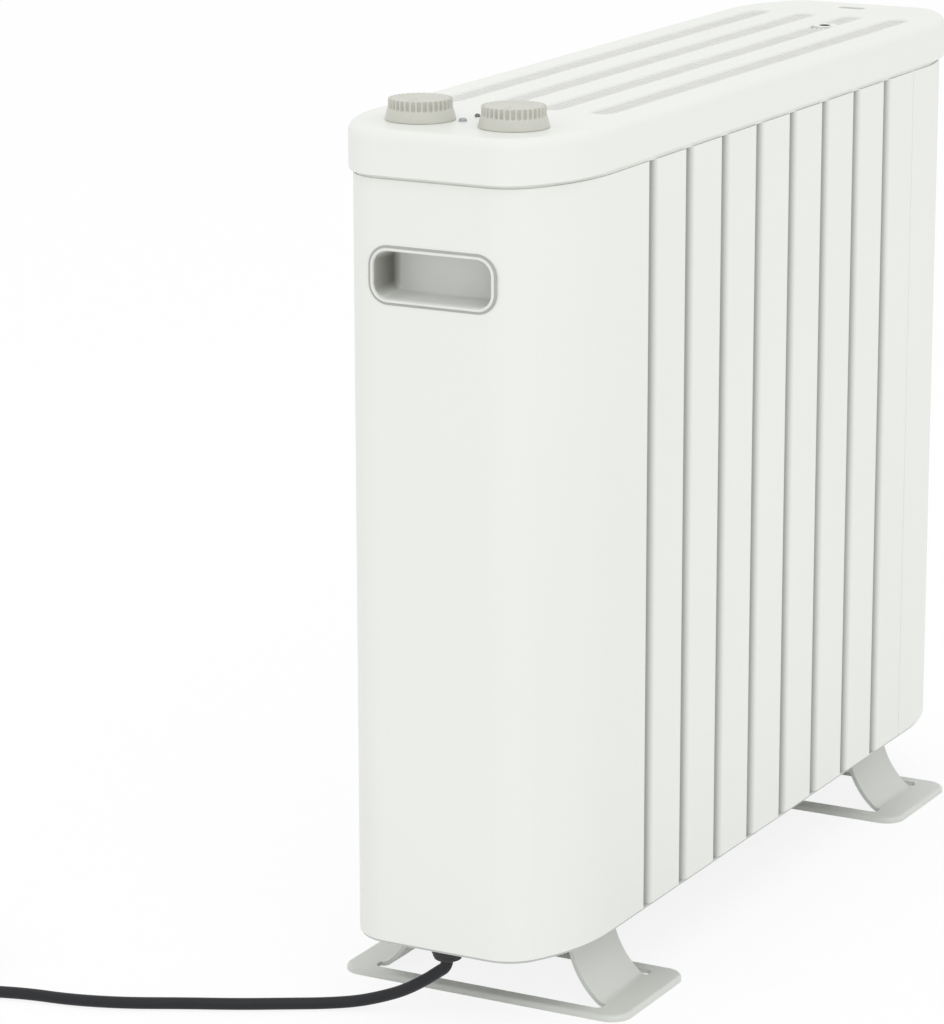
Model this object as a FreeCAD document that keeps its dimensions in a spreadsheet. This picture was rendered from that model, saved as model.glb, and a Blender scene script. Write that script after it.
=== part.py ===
import FreeCAD, Part
import math
import os
import re
import Sketcher

# An oil-free radiator: a free-standing electric heater whose casing is a row of hollow steel fins.
# Millimetres. +Z is up, X runs along the casing with the controls at its -X end, and the origin
# is on the floor under the middle of the casing.

Vector = FreeCAD.Vector

# Driving sizes, one sheet cell each
SIZES = {
    # Casing in plan: both ends have corners of two arcs, a large one and then a small one
    "width": 139,
    "casing_run": 69,
    "casing_depth": 38,
    "casing_corner": 26,
    "front_flat": 46,
    "rear_flat": 16,
    # Fins
    "fin_count": 8,
    "fin_pitch": 45,
    "fin_gap": 4.5,
    "rear_gap": 0.6,
    "fin_front_corner": 6.5,
    "fin_rear_corner": 1.2,
    "lip_inset": 8,
    "wall": 0.8,
    "body_height": 417,
    # Air window and tie rod holes in the webs, heights above the casing's underside
    "window_half": 50,
    "window_low": 40,
    "window_high": 100,
    "window_corner": 6,
    "upper_rod_side": 45,
    "upper_rod_height": 330,
    "lower_rod_side": 53,
    "lower_rod_height": 25,
    "rod_radius": 3,
    "rod_spare": 2,
    "nut_radius": 6,
    "nut_height": 5,
    # Base tray
    "ground_gap": 42,
    "tray_sheet": 1.5,
    "tray_inset": 1,
    "inlet_width": 26,
    "inlet_half": 50,
    "inlet_corner": 4,
    # Top cover, with tighter corners than the casing
    "cover_height": 26,
    "cover_end": 3,
    "cover_flank": 0.3,
    "cover_run": 60,
    "cover_depth": 36,
    "cover_corner": 22,
    "cover_edge": 5,
    "seam_gap": 2.2,
    "ledge_inset": 1,
    "ledge_wall": 2,
    "flange_sheet": 1.5,
    "cover_wall": 2.5,
    "roof": 2.5,
    "slot_pitch": 30.7,
    "slot_width": 13,
    "slot_corner": 5,
    "slot_edge": 2,
    "slot_front": 97,
    "slot_rear": 54,
    "collar_wall": 2,
    "collar_depth": 1,
    # Louvre under the slots
    "louvre_height": 6,
    "blade_run": 12,
    "blade_sheet": 2,
    # Cover screws, their seats and the strap that they hold to
    "screw_inset": 98,
    "recess_inset": 22,
    "boss_radius": 7.5,
    "boss_drop": 0.3,
    "seat_radius": 3.5,
    "seat_depth": 8,
    "recess_width": 17,
    "recess_length": 7,
    "recess_corner": 3,
    "recess_wall": 2,
    "strap_half": 28,
    "strap_sheet": 2,
    "strap_front": 132,
    "screw_head": 3.2,
    "screw_head_height": 2.2,
    "screw_shank": 1.8,
    "screw_spare": 2,
    # Hand-holds
    "hand_drop": 50.2,
    "hand_width": 69,
    "hand_height": 25,
    "hand_corner": 8,
    "hand_depth": 20,
    "hand_wall": 1.6,
    "hand_hollow": 4,
    "bezel_rim": 3.3,
    "bezel_proud": 1.4,
    "bezel_edge": 0.9,
    # Controls
    "knob_inset": 38,
    "knob_side": 27.6,
    "knob_lift": 0.5,
    "knob_height": 10.8,
    "knob_radius": 16.9,
    "knob_edge": 1.2,
    "skirt_radius": 18.7,
    "skirt_height": 5.8,
    "knob_wall": 2.2,
    "knob_top": 2.4,
    "hub_radius": 6,
    "hub_lift": 4,
    "flute_count": 34,
    "flute_radius": 1.1,
    "pointer_start": 4,
    "pointer_end": 15,
    "pointer_width": 1.4,
    "pointer_depth": 0.5,
    "spindle_radius": 3,
    "spindle_depth": 18,
    "bushing_radius": 5,
    "bushing_spare": 0.5,
    "control_nut_radius": 8,
    "control_nut_height": 2.5,
    "control_size": 36,
    "control_height": 30,
    "lamp_inset": 42,
    "lamp_side": 4.5,
    "lamp_radius": 2.2,
    "lamp_height": 1.8,
    "lamp_round": 1.4,
    "lamp_stem": 1.8,
    "lamp_stem_length": 10,
    "lamp_body_radius": 4.4,
    "lamp_body_length": 14,
    # Feet
    "foot_inset": 90,
    "foot_reach": 88,
    "foot_corner": 12,
    "foot_sheet": 2.6,
    "foot_edge": 2,
    "rim_drop": 1,
    "rim_width": 2.6,
    "strip": 9,
    "slit": 7.5,
    "slit_end": 70.5,
    "tongue_width": 51,
    "tongue_root": 2,
    "leg_radius": 48,
    "leg_bend": 7,
    "leg_top": 48.6,
    "tab_end": 26,
    "foot_screw_run": 16,
    "foot_screw_side": 35.5,
    "foot_screw_shank": 2,
    "foot_screw_head": 4.5,
    "foot_screw_head_height": 2.5,
    "foot_screw_spare": 4,
    # Heating elements, X-shaped in section
    "element_side": 26,
    "element_height": 70,
    "element_spare": 12,
    "arm_reach": 25,
    "arm_sheet": 2,
    "pin_radius": 5,
    "pin_length": 18,
    "bracket_gap": 8,
    "bracket_sheet": 1.5,
    "bracket_half": 52,
    "bracket_height": 110,
    "bracket_flange": 15,
    "bush_radius": 9,
    "bush_length": 6,
    "cutout_radius": 8,
    "cutout_length": 8,
    "cutout_height": 95,
    # Terminal block and wiring
    "terminal_inset": 44,
    "terminal_length": 30,
    "terminal_half": 20,
    "terminal_height": 14,
    "wire_radius": 1.5,
    "wire_lead": 20,
    "wire_spread": 12,
    # Mains cord, its gland, coil, tie and plug
    "gland_inset": 14,
    "gland_radius": 10,
    "gland_nose": 7.5,
    "gland_height": 7.5,
    "gland_recess": 3,
    "gland_neck": 6,
    "gland_neck_height": 10,
    "gland_nut_radius": 10,
    "gland_nut_height": 4,
    "cord_diameter": 6.6,
    "coil_x": -335.1,
    "coil_y": 309.6,
    "coil_lift": 1.5,
    "coil_outer": 45.3,
    "coil_pitch": 7.2,
    "tie_width": 6,
    "tie_sheet": 0.9,
    "tie_corner": 3,
    "plug_rise": 6.5,
    "plug_run": 30,
    "relief_length": 24,
    "relief_thin": 4.3,
    "relief_thick": 6,
    "plug_length": 38,
    "plug_thin": 13,
    "plug_thick": 18.5,
    "plug_notch": 3,
    "plug_notch_length": 18,
    "plug_pin_radius": 2.4,
    "plug_pin_length": 19,
    "plug_pin_side": 9.5,
    # Clearances
    "fit_gap": 0.2,
    "running_gap": 0.05,
    "press_gap": 0.02,
    "cord_gap": 0.3,
    "tie_gap": 0.6,
}

# Places and sizes worked out from the driving ones
PLACES = {
    "length": "2 * casing_run + front_flat + fin_pitch * fin_count + rear_flat",
    "front_end": "-length / 2",
    "rear_end": "length / 2",
    "casing_reach": "length / 2",
    "casing_side": "width / 2",
    "cover_reach": "casing_reach + cover_end",
    "cover_side": "casing_side + cover_flank",
    "first_gap": "front_end + casing_run + front_flat",
    "last_gap": "first_gap + fin_pitch * fin_count",
    "fin_length": "fin_pitch - fin_gap",
    "front_web": "first_gap - fin_gap / 2",
    "rear_web": "last_gap - fin_gap / 2 + rear_gap",
    "lip_side": "casing_side - lip_inset",
    "underside": "ground_gap + tray_sheet",
    "seam": "underside + body_height",
    "cover_top": "seam + cover_height",
    "roof_under": "cover_top - roof",
    "slot_start": "front_end + slot_front",
    "slot_stop": "rear_end - slot_rear",
    "collar_low": "roof_under - collar_depth",
    "louvre_low": "collar_low - louvre_height",
    "louvre_side": "1.5 * slot_pitch + slot_width / 2 + collar_wall",
    "strap_top": "seam + strap_sheet",
    "screw_x": "rear_end - screw_inset",
    "screw_y": "-slot_pitch / 2",
    "screw_seat": "cover_top - boss_drop - seat_depth",
    "recess_x": "rear_end - recess_inset",
    "recess_seat": "cover_top - seat_depth",
    "hand_level": "seam - hand_drop",
    "knob_x": "front_end + knob_inset",
    "lamp_x": "front_end + lamp_inset",
    "hub_height": "knob_height - knob_top - hub_lift",
    "control_low": "roof_under - control_height",
    "bore_low": "cover_top - spindle_depth",
    "foot_top": "foot_sheet + rim_drop",
    "foot_half": "tongue_width / 2 + slit + strip",
    "foot_x": "length / 2 - foot_inset",
    "leg_centre": "leg_top + leg_radius",
    "leg_inner": "leg_radius + foot_sheet",
    "bend_level": "foot_top + leg_bend",
    "bend_place": "leg_centre - sqrt((leg_radius - leg_bend)^2 - (ground_gap - bend_level)^2)",
    "bend_out": "(bend_place - leg_centre) / (leg_radius - leg_bend)",
    "bend_down": "(bend_level - ground_gap) / (leg_radius - leg_bend)",
    "element_front": "front_web - element_spare",
    "element_rear": "rear_web + element_spare",
    "element_level": "underside + element_height",
    "front_bracket": "element_front - bracket_gap - bracket_sheet",
    "rear_bracket": "element_rear + bracket_gap",
    "terminal_x": "front_end + terminal_inset",
    "terminal_top": "underside + terminal_height",
    "gland_x": "front_end + gland_inset",
    "gland_top": "ground_gap + gland_neck_height",
    "cord_radius": "cord_diameter / 2",
}
# The large arc of a plan's corners, and where it meets the small one
for plan in ("casing", "cover"):
    PLACES[f"{plan}_bend"] = (
        f"({plan}_run^2 + {plan}_depth^2 - 2 * {plan}_run * {plan}_corner)"
        f" / (2 * ({plan}_depth - {plan}_corner))")
    PLACES[f"{plan}_join_run"] = f"({plan}_corner - {plan}_run) / ({plan}_bend - {plan}_corner)"
    PLACES[f"{plan}_join_depth"] = f"({plan}_depth - {plan}_bend) / ({plan}_bend - {plan}_corner)"

# The mains cord from under its gland to the coil, on the floor from where it lands
CORD_ROUTE = [
    (-266.0, 0.0, 37.5), (-266.0, 0.0, 29.9), (-266.3, 6.1, 25.4), (-267.2, 12.6, 20.4),
    (-269.4, 25.0, 12.6), (-272.8, 38.0, 7.6), (-278.0, 51.0, 4.3), (-286.5, 66.5, 3.3),
    (-295.5, 82.5, 3.3), (-309.5, 107.0, 3.3), (-322.3, 134.0, 3.3), (-337.5, 163.0, 3.3),
    (-347.0, 192.0, 3.3), (-350.0, 216.0, 3.3), (-357.0, 238.5, 3.3), (-365.0, 258.0, 3.6),
]
COIL_START_ANGLE = 200
COIL_LOWER_TURNS = 2.5
COIL_CLIMB_TURNS = 0.5
COIL_UPPER_TURNS = 2.25
TIE_ANGLE = 20
# Share of the shorter run that an arc of the cord takes up, and share of the last stretch before the coil
# that is in line with it
ARC_SHARE = 0.45
LAST_RUN_SHARE = 0.4
# Step between points in the measure of the coil's least gap to itself, the length along it that doesn't
# count, and the part of a turn over which its heading is taken
GAP_STEP = 1.5
GAP_SKIP = 25
HEADING_STEP = 1e-4
# Lengths that count as none, between points and between an edge and a level
TINY = 1e-6
LEVEL_TOLERANCE = 1e-4

doc = FreeCAD.newDocument("Radiator")
sheet = doc.addObject("Spreadsheet::Sheet", "Sizes")
for row, (alias, number) in enumerate(SIZES.items(), 1):
    sheet.set(f"A{row}", str(number))
    sheet.setAlias(f"A{row}", alias)
doc.recompute()

nodes = []


# Expressions
def fx(text):
    """Turn the names of sizes and places in an expression into references to the sheet's cells."""
    def swap(match):
        word = match.group()
        if word in SIZES:
            return "Sizes." + word
        if word in PLACES:
            return "(" + fx(PLACES[word]) + ")"
        return word
    return re.sub(r"[A-Za-z_]\w*", swap, text)


def val(text):
    """The number that an expression gives now."""
    return float(sheet.evalExpression(fx(text)))


def node(item, label):
    """Take an object as one sub-part of the radiator."""
    item.Label = label
    nodes.append(item)
    return item


# Bodies and sketches
def new_body(name, x="0", y="0", z="0", rotation=FreeCAD.Rotation()):
    """A body with its own frame at x, y, z."""
    body = doc.addObject("PartDesign::Body", name)
    body.Placement = FreeCAD.Placement(Vector(), rotation)
    bind_base(body, (x, y, z))
    return node(body, name)


def bind_base(item, base):
    for axis, text in zip("xyz", base):
        item.setExpression("Placement.Base." + axis, fx(text))


def new_sketch(body, name, plane, offset="0"):
    """An empty sketch on one of a body's origin planes, moved along the plane's normal."""
    support = [feature for feature in body.Origin.OriginFeatures if feature.Role == plane][0]
    sketch = body.newObject("Sketcher::SketchObject", f"{body.Name}_{name}")
    sketch.AttachmentSupport = [(support, "")]
    sketch.MapMode = "FlatFace"
    sketch.setExpression("AttachmentOffset.Base.z", fx(offset))
    return sketch


def bind(sketch, constraint, text):
    index = sketch.addConstraint(constraint)
    sketch.setExpression(f"Constraints[{index}]", fx(text))


def arc_edge(start, stop, radius, to_right):
    """The short arc from start to stop that bends to the left, or to the right."""
    chord = stop - start
    across = Vector(-chord.y, chord.x, 0).normalize()
    if to_right:
        across = -across
    to_centre = math.sqrt(radius ** 2 - (chord.Length / 2) ** 2)
    middle = (start + stop) * 0.5 + across * (to_centre - radius)
    return Part.Arc(start, middle, stop)


def draw(sketch, corners, arcs=None, right=()):
    """A closed outline of corners, each a pair of expressions. Arcs gives the radius of an edge by the
    number of the corner that it leaves, and right lists the ones that bend to the right."""
    arcs = arcs or {}
    points = [Vector(val(x), val(y), 0) for x, y in corners]
    edges = []
    for number, start in enumerate(points):
        stop = points[(number + 1) % len(points)]
        if number in arcs:
            curve = arc_edge(start, stop, val(arcs[number]), number in right)
        else:
            curve = Part.LineSegment(start, stop)
        index = sketch.addGeometry(curve, False)
        first = 1 if sketch.getPoint(index, 1).distanceToPoint(start) < TINY else 2
        edges.append((index, first, 3 - first))
    for number, (index, first, last) in enumerate(edges):
        after, after_first, after_last = edges[(number + 1) % len(edges)]
        sketch.addConstraint(Sketcher.Constraint("Coincident", index, last, after, after_first))
        x, y = corners[number]
        bind(sketch, Sketcher.Constraint("DistanceX", -1, 1, index, first, val(x)), x)
        bind(sketch, Sketcher.Constraint("DistanceY", -1, 1, index, first, val(y)), y)
        if number in arcs:
            bind(sketch, Sketcher.Constraint("Radius", index, val(arcs[number])), arcs[number])


def draw_box(sketch, left, right, low, high):
    draw(sketch, [(left, low), (right, low), (right, high), (left, high)])


def draw_rounded(sketch, left, right, low, high, radius):
    """A rectangle with rounded corners."""
    corners = [
        (f"{left} + ({radius})", low), (f"{right} - ({radius})", low),
        (right, f"{low} + ({radius})"), (right, f"{high} - ({radius})"),
        (f"{right} - ({radius})", high), (f"{left} + ({radius})", high),
        (left, f"{high} - ({radius})"), (left, f"{low} + ({radius})"),
    ]
    draw(sketch, corners, {1: radius, 3: radius, 5: radius, 7: radius})


def draw_circle(sketch, x, y, radius):
    circle = Part.Circle(Vector(val(x), val(y), 0), Vector(0, 0, 1), val(radius))
    index = sketch.addGeometry(circle, False)
    bind(sketch, Sketcher.Constraint("DistanceX", -1, 1, index, 3, val(x)), x)
    bind(sketch, Sketcher.Constraint("DistanceY", -1, 1, index, 3, val(y)), y)
    bind(sketch, Sketcher.Constraint("Radius", index, val(radius)), radius)


# Features
def pad(body, sketch, length, against_normal=False):
    feature = body.newObject("PartDesign::Pad", sketch.Name + "_pad")
    feature.Profile = sketch
    feature.setExpression("Length", fx(length))
    feature.Reversed = against_normal
    return feature


def pocket(body, sketch, length=None, along_normal=False):
    """Cut a sketch's outlines against its normal, or along it, right through if no length is given."""
    feature = body.newObject("PartDesign::Pocket", sketch.Name + "_pocket")
    feature.Profile = sketch
    feature.Reversed = along_normal
    if length is None:
        feature.Type = "ThroughAll"
    else:
        feature.setExpression("Length", fx(length))
    return feature


def round_edges(body, feature, radius, axis, level, inside=None):
    """Round every edge of a feature that lies at one level of an axis, and inside a box of X and Y if one is
    given, as its four sides."""
    doc.recompute()
    wanted = []
    for number, edge in enumerate(feature.Shape.Edges, 1):
        box = edge.BoundBox
        low = getattr(box, axis + "Min")
        high = getattr(box, axis + "Max")
        level_off = max(abs(low - val(level)), abs(high - val(level)))
        if level_off < LEVEL_TOLERANCE and (inside is None or is_inside(box, inside)):
            wanted.append(f"Edge{number}")
    rounding = body.newObject("PartDesign::Fillet", feature.Name + "_round")
    rounding.Base = (feature, wanted)
    rounding.setExpression("Radius", fx(radius))
    return rounding


def is_inside(box, sides):
    left, right, low, high = (val(side) for side in sides)
    return left < box.XMin and box.XMax < right and low < box.YMin and box.YMax < high


# Primitives and booleans
ALONG = {
    "Z": FreeCAD.Rotation(),
    "X": FreeCAD.Rotation(Vector(0, 1, 0), 90),
}


def primitive(kind, name, along, base, sizes):
    item = doc.addObject(kind, name)
    item.Placement = FreeCAD.Placement(Vector(), ALONG[along])
    bind_base(item, base)
    for size, text in sizes.items():
        item.setExpression(size, fx(text))
    return item


def cylinder(name, along, base, radius, height):
    return primitive("Part::Cylinder", name, along, base, {"Radius": radius, "Height": height})


def cone(name, along, base, start_radius, end_radius, height):
    sizes = {"Radius1": start_radius, "Radius2": end_radius, "Height": height}
    return primitive("Part::Cone", name, along, base, sizes)


def block(name, base, length, width, height):
    sizes = {"Length": length, "Width": width, "Height": height}
    return primitive("Part::Box", name, "Z", base, sizes)


def hexagon(name, along, base, radius, height):
    return primitive("Part::Prism", name, along, base, {"Circumradius": radius, "Height": height})


def cut(name, base, tool):
    item = doc.addObject("Part::Cut", name)
    item.Base = base
    item.Tool = tool
    return item


def fuse(name, items):
    item = doc.addObject("Part::MultiFuse", name)
    item.Shapes = items
    return item


def group(name, items):
    item = doc.addObject("Part::Compound", name)
    item.Links = items
    return item


def nut(name, along, base, radius, height, bore):
    """A hexagon nut, its bore right through."""
    body = hexagon(name + "_hexagon", along, base, radius, height)
    return cut(name, body, cylinder(name + "_bore", along, base, bore, height))


# Outlines in plan, of the casing and of its cover
def corner(plan, end, flank, grow):
    """One corner from the long side to the end: where the large arc starts, meets the small one and ends."""
    small = f"({plan}_corner + ({grow}))"
    return [
        (f"{end} * ({plan}_reach - {plan}_run)", f"{flank} * ({plan}_side + ({grow}))"),
        (f"{end} * ({plan}_reach - {plan}_corner - {small} * {plan}_join_run)",
         f"{flank} * ({plan}_side - {plan}_depth - {small} * {plan}_join_depth)"),
        (f"{end} * ({plan}_reach + ({grow}))", f"{flank} * ({plan}_side - {plan}_depth)"),
    ]


def curved_end(plan, end, grow):
    """The corners and arcs of one end, anticlockwise from long side to long side."""
    corners = corner(plan, end, -end, grow) + corner(plan, end, end, grow)[::-1]
    large = f"{plan}_bend + ({grow})"
    small = f"{plan}_corner + ({grow})"
    return corners, {0: large, 1: small, 3: small, 4: large}


def draw_plan(sketch, plan, grow):
    """A whole outline, moved outwards by grow."""
    rear, arcs = curved_end(plan, 1, grow)
    front, front_arcs = curved_end(plan, -1, grow)
    arcs.update({number + len(rear): radius for number, radius in front_arcs.items()})
    draw(sketch, rear + front, arcs)


def draw_web_holes(sketch):
    """The window for the elements and the four tie rod holes of a web."""
    draw_rounded(sketch, "-window_half", "window_half", "underside + window_low",
                 "underside + window_high", "window_corner")
    for place, height in ROD_PLACES:
        draw_circle(sketch, place, f"underside + {height}", "rod_radius + fit_gap")


ROD_PLACES = [
    ("-upper_rod_side", "upper_rod_height"),
    ("upper_rod_side", "upper_rod_height"),
    ("-lower_rod_side", "lower_rod_height"),
    ("lower_rod_side", "lower_rod_height"),
]


def draw_hand_hole(sketch):
    """The hole that a hand-hold's cup passes through."""
    half = "(hand_width / 2 + hand_wall + fit_gap)"
    rise = "(hand_height / 2 + hand_wall + fit_gap)"
    draw_rounded(sketch, f"-{half}", half, f"hand_level - {rise}", f"hand_level + {rise}",
                 "hand_corner + hand_wall + fit_gap")


# End panels and fins: closed hollow sections, open at the top and the bottom
def stepped_face(x, step, rounding, inset):
    """The corners of a rear face from -Y to +Y: rounded edges, and between them the step out to the next
    fin. The edges' arcs leave the first and the seventh of these corners."""
    flank = f"(casing_side - ({inset}))"
    lip = f"(lip_side - ({inset}))"
    return [
        (f"{x} - ({rounding})", f"-{flank}"), (x, f"-{flank} + ({rounding})"),
        (x, f"-{lip}"), (f"{x} + {step}", f"-{lip}"),
        (f"{x} + {step}", lip), (x, lip),
        (x, f"{flank} - ({rounding})"), (f"{x} - ({rounding})", flank),
    ]


def plain_face(x, rounding, inset):
    """The corners of a front face from +Y to -Y. The edges' arcs leave the first and the third."""
    flank = f"(casing_side - ({inset}))"
    return [
        (f"{x} + ({rounding})", flank), (x, f"{flank} - ({rounding})"),
        (x, f"-{flank} + ({rounding})"), (f"{x} + ({rounding})", f"-{flank}"),
    ]


def front_end_panel():
    body = new_body("front_end_panel")
    outer, arcs = curved_end("casing", -1, "0")
    outer += stepped_face("front_web", "fin_gap", "fin_rear_corner", "0")
    arcs.update({6: "fin_rear_corner", 12: "fin_rear_corner"})
    outline = new_sketch(body, "outline", "XY_Plane", "underside")
    draw(outline, outer, arcs)
    pad(body, outline, "body_height")
    inner, arcs = curved_end("casing", -1, "-wall")
    inner += stepped_face("front_web - wall", "fin_gap", "fin_rear_corner - wall", "wall")
    arcs.update({6: "fin_rear_corner - wall", 12: "fin_rear_corner - wall"})
    hollow = new_sketch(body, "hollow", "XY_Plane", "underside")
    draw(hollow, inner, arcs)
    pocket(body, hollow, along_normal=True)
    holes = new_sketch(body, "holes", "YZ_Plane", "front_web + fin_gap")
    draw_web_holes(holes)
    pocket(body, holes, "fin_gap + wall")
    hand = new_sketch(body, "hand", "YZ_Plane", "front_end + 2 * wall")
    draw_hand_hole(hand)
    pocket(body, hand)


def rear_end_panel():
    body = new_body("rear_end_panel")
    outer, arcs = curved_end("casing", 1, "0")
    outer += plain_face("rear_web", "fin_rear_corner", "0")
    arcs.update({6: "fin_rear_corner", 8: "fin_rear_corner"})
    outline = new_sketch(body, "outline", "XY_Plane", "underside")
    draw(outline, outer, arcs)
    pad(body, outline, "body_height")
    inner, arcs = curved_end("casing", 1, "-wall")
    inner += plain_face("rear_web + wall", "fin_rear_corner - wall", "wall")
    arcs.update({6: "fin_rear_corner - wall", 8: "fin_rear_corner - wall"})
    hollow = new_sketch(body, "hollow", "XY_Plane", "underside")
    draw(hollow, inner, arcs)
    pocket(body, hollow, along_normal=True)
    holes = new_sketch(body, "holes", "YZ_Plane", "rear_web + 2 * wall")
    draw_web_holes(holes)
    pocket(body, holes)
    hand = new_sketch(body, "hand", "YZ_Plane", "rear_end - 2 * wall")
    draw_hand_hole(hand)
    pocket(body, hand, along_normal=True)


def fin(number, gap):
    """One fin, with the step on its rear face that sets it off from what follows by a gap."""
    body = new_body(f"fin_{number}", f"first_gap + fin_gap / 2 + fin_pitch * {number - 1}")
    outline = new_sketch(body, "outline", "XY_Plane", "underside")
    corners = {0: "fin_rear_corner", 6: "fin_rear_corner", 8: "fin_front_corner", 10: "fin_front_corner"}
    outer = stepped_face("fin_length", gap, "fin_rear_corner", "0")
    outer += plain_face("0", "fin_front_corner", "0")
    draw(outline, outer, corners)
    pad(body, outline, "body_height")
    hollow = new_sketch(body, "hollow", "XY_Plane", "underside")
    inner = stepped_face("fin_length - wall", gap, "fin_rear_corner - wall", "wall")
    inner += plain_face("wall", "fin_front_corner - wall", "wall")
    draw(hollow, inner, {edge: f"{radius} - wall" for edge, radius in corners.items()})
    pocket(body, hollow, along_normal=True)
    holes = new_sketch(body, "holes", "YZ_Plane", "fin_pitch")
    draw_web_holes(holes)
    pocket(body, holes)


def tie_rods():
    """Four rods through all the webs, with a nut inside each end panel."""
    rods = []
    nuts = []
    for number, (place, height) in enumerate(ROD_PLACES, 1):
        level = f"underside + {height}"
        front_face = "front_web + fin_gap - wall"
        rear_face = "rear_web + wall"
        start = f"{front_face} - nut_height - rod_spare"
        reach = f"{rear_face} + nut_height + rod_spare - ({start})"
        rods.append(cylinder(f"tie_rod_{number}", "X", (start, place, level), "rod_radius", reach))
        seats = {"front": f"{front_face} - nut_height", "rear": rear_face}
        for end, x in seats.items():
            nuts.append(nut(f"tie_nut_{end}_{number}", "X", (x, place, level), "nut_radius", "nut_height",
                            "rod_radius + running_gap"))
    node(group("tie_rods", rods), "tie_rods")
    node(group("tie_rod_nuts", nuts), "tie_rod_nuts")


# Base tray
def base_tray():
    """The floor of the casing: air inlets under the fins, and holes for the gland and the foot screws."""
    body = new_body("base_tray")
    outline = new_sketch(body, "outline", "XY_Plane", "ground_gap")
    draw_plan(outline, "casing", "-tray_inset")
    pad(body, outline, "tray_sheet")
    holes = new_sketch(body, "holes", "XY_Plane", "underside")
    for number in range(int(val("fin_count")) - 1):
        middle = f"first_gap + fin_pitch * {number + 0.5}"
        draw_rounded(holes, f"{middle} - inlet_width / 2", f"{middle} + inlet_width / 2",
                     "-inlet_half", "inlet_half", "inlet_corner")
    draw_circle(holes, "gland_x", "0", "gland_neck + fit_gap")
    for x, y in foot_screw_places():
        draw_circle(holes, x, y, "foot_screw_shank + fit_gap")
    pocket(body, holes)


# Top cover
SLOT_PLACES = [f"slot_pitch * {share}" for share in (-1.5, -0.5, 0.5, 1.5)]


def top_cover():
    """An overhanging lid that stands on the webs, with four outlet slots in collars and two screw seats."""
    body = new_body("top_cover")
    lid = new_sketch(body, "lid", "XY_Plane", "seam + seam_gap")
    draw_plan(lid, "cover", "0")
    feature = pad(body, lid, "cover_height - seam_gap")
    round_edges(body, feature, "cover_edge", "Z", "cover_top")
    ledge = new_sketch(body, "ledge", "XY_Plane", "seam")
    draw_plan(ledge, "casing", "-ledge_inset")
    pad(body, ledge, "seam_gap")
    mouth = new_sketch(body, "mouth", "XY_Plane", "seam")
    draw_plan(mouth, "casing", "-ledge_inset - ledge_wall")
    pocket(body, mouth, "seam_gap + flange_sheet", along_normal=True)
    hollow = new_sketch(body, "hollow", "XY_Plane", "roof_under")
    draw_plan(hollow, "cover", "-cover_wall")
    pocket(body, hollow, "cover_height - roof - seam_gap - flange_sheet")
    collars = new_sketch(body, "collars", "XY_Plane", "roof_under")
    for place in SLOT_PLACES:
        reach = "(slot_width / 2 + collar_wall)"
        draw_rounded(collars, "slot_start - collar_wall", "slot_stop + collar_wall",
                     f"{place} - {reach}", f"{place} + {reach}", "slot_corner + collar_wall")
    pad(body, collars, "collar_depth", against_normal=True)
    slots = new_sketch(body, "slots", "XY_Plane", "cover_top")
    for place in SLOT_PLACES:
        draw_rounded(slots, "slot_start", "slot_stop", f"{place} - slot_width / 2",
                     f"{place} + slot_width / 2", "slot_corner")
    feature = pocket(body, slots, "roof + collar_depth")
    around_slots = ("slot_start - collar_wall", "slot_stop + collar_wall", "-louvre_side", "louvre_side")
    round_edges(body, feature, "slot_edge", "Z", "cover_top", around_slots)
    boss = new_sketch(body, "boss", "XY_Plane", "strap_top")
    draw_circle(boss, "screw_x", "screw_y", "boss_radius")
    pad(body, boss, "cover_top - boss_drop - strap_top")
    stand = new_sketch(body, "stand", "XY_Plane", "strap_top")
    half_length = "(recess_length / 2 + recess_wall)"
    half_width = "(recess_width / 2 + recess_wall)"
    draw_rounded(stand, f"recess_x - {half_length}", f"recess_x + {half_length}",
                 f"-{half_width}", half_width, "recess_corner + recess_wall")
    pad(body, stand, "roof_under - strap_top")
    seat = new_sketch(body, "seat", "XY_Plane", "cover_top - boss_drop")
    draw_circle(seat, "screw_x", "screw_y", "seat_radius")
    pocket(body, seat, "seat_depth")
    recess = new_sketch(body, "recess", "XY_Plane", "cover_top")
    draw_rounded(recess, "recess_x - recess_length / 2", "recess_x + recess_length / 2",
                 "-recess_width / 2", "recess_width / 2", "recess_corner")
    pocket(body, recess, "seat_depth")
    holes = new_sketch(body, "holes", "XY_Plane", "cover_top")
    draw_circle(holes, "screw_x", "screw_y", "screw_shank + fit_gap")
    draw_circle(holes, "recess_x", "0", "screw_shank + fit_gap")
    draw_circle(holes, "knob_x", "knob_side", "bushing_radius + fit_gap")
    draw_circle(holes, "knob_x", "-knob_side", "bushing_radius + fit_gap")
    draw_circle(holes, "lamp_x", "lamp_side", "lamp_stem + fit_gap")
    pocket(body, holes)


def outlet_louvre():
    """A frame under the slots' collars with one slanting blade below each slot."""
    body = new_body("outlet_louvre")
    frame = new_sketch(body, "frame", "XY_Plane", "louvre_low")
    draw_box(frame, "slot_start - collar_wall", "slot_stop + collar_wall", "-louvre_side", "louvre_side")
    draw_box(frame, "slot_start", "slot_stop", "-louvre_side + collar_wall", "louvre_side - collar_wall")
    pad(body, frame, "louvre_height")
    blades = new_sketch(body, "blades", "YZ_Plane", "slot_start")
    for place in SLOT_PLACES:
        low_edge = f"{place} - blade_run / 2"
        high_edge = f"{place} + blade_run / 2"
        draw(blades, [(low_edge, "louvre_low"), (f"{low_edge} + blade_sheet", "louvre_low"),
                      (f"{high_edge}", "collar_low"), (f"{high_edge} - blade_sheet", "collar_low")])
    pad(body, blades, "slot_stop - slot_start")
    way = new_sketch(body, "way", "XY_Plane", "collar_low")
    draw_circle(way, "screw_x", "screw_y", "boss_radius + fit_gap")
    pocket(body, way)


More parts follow.
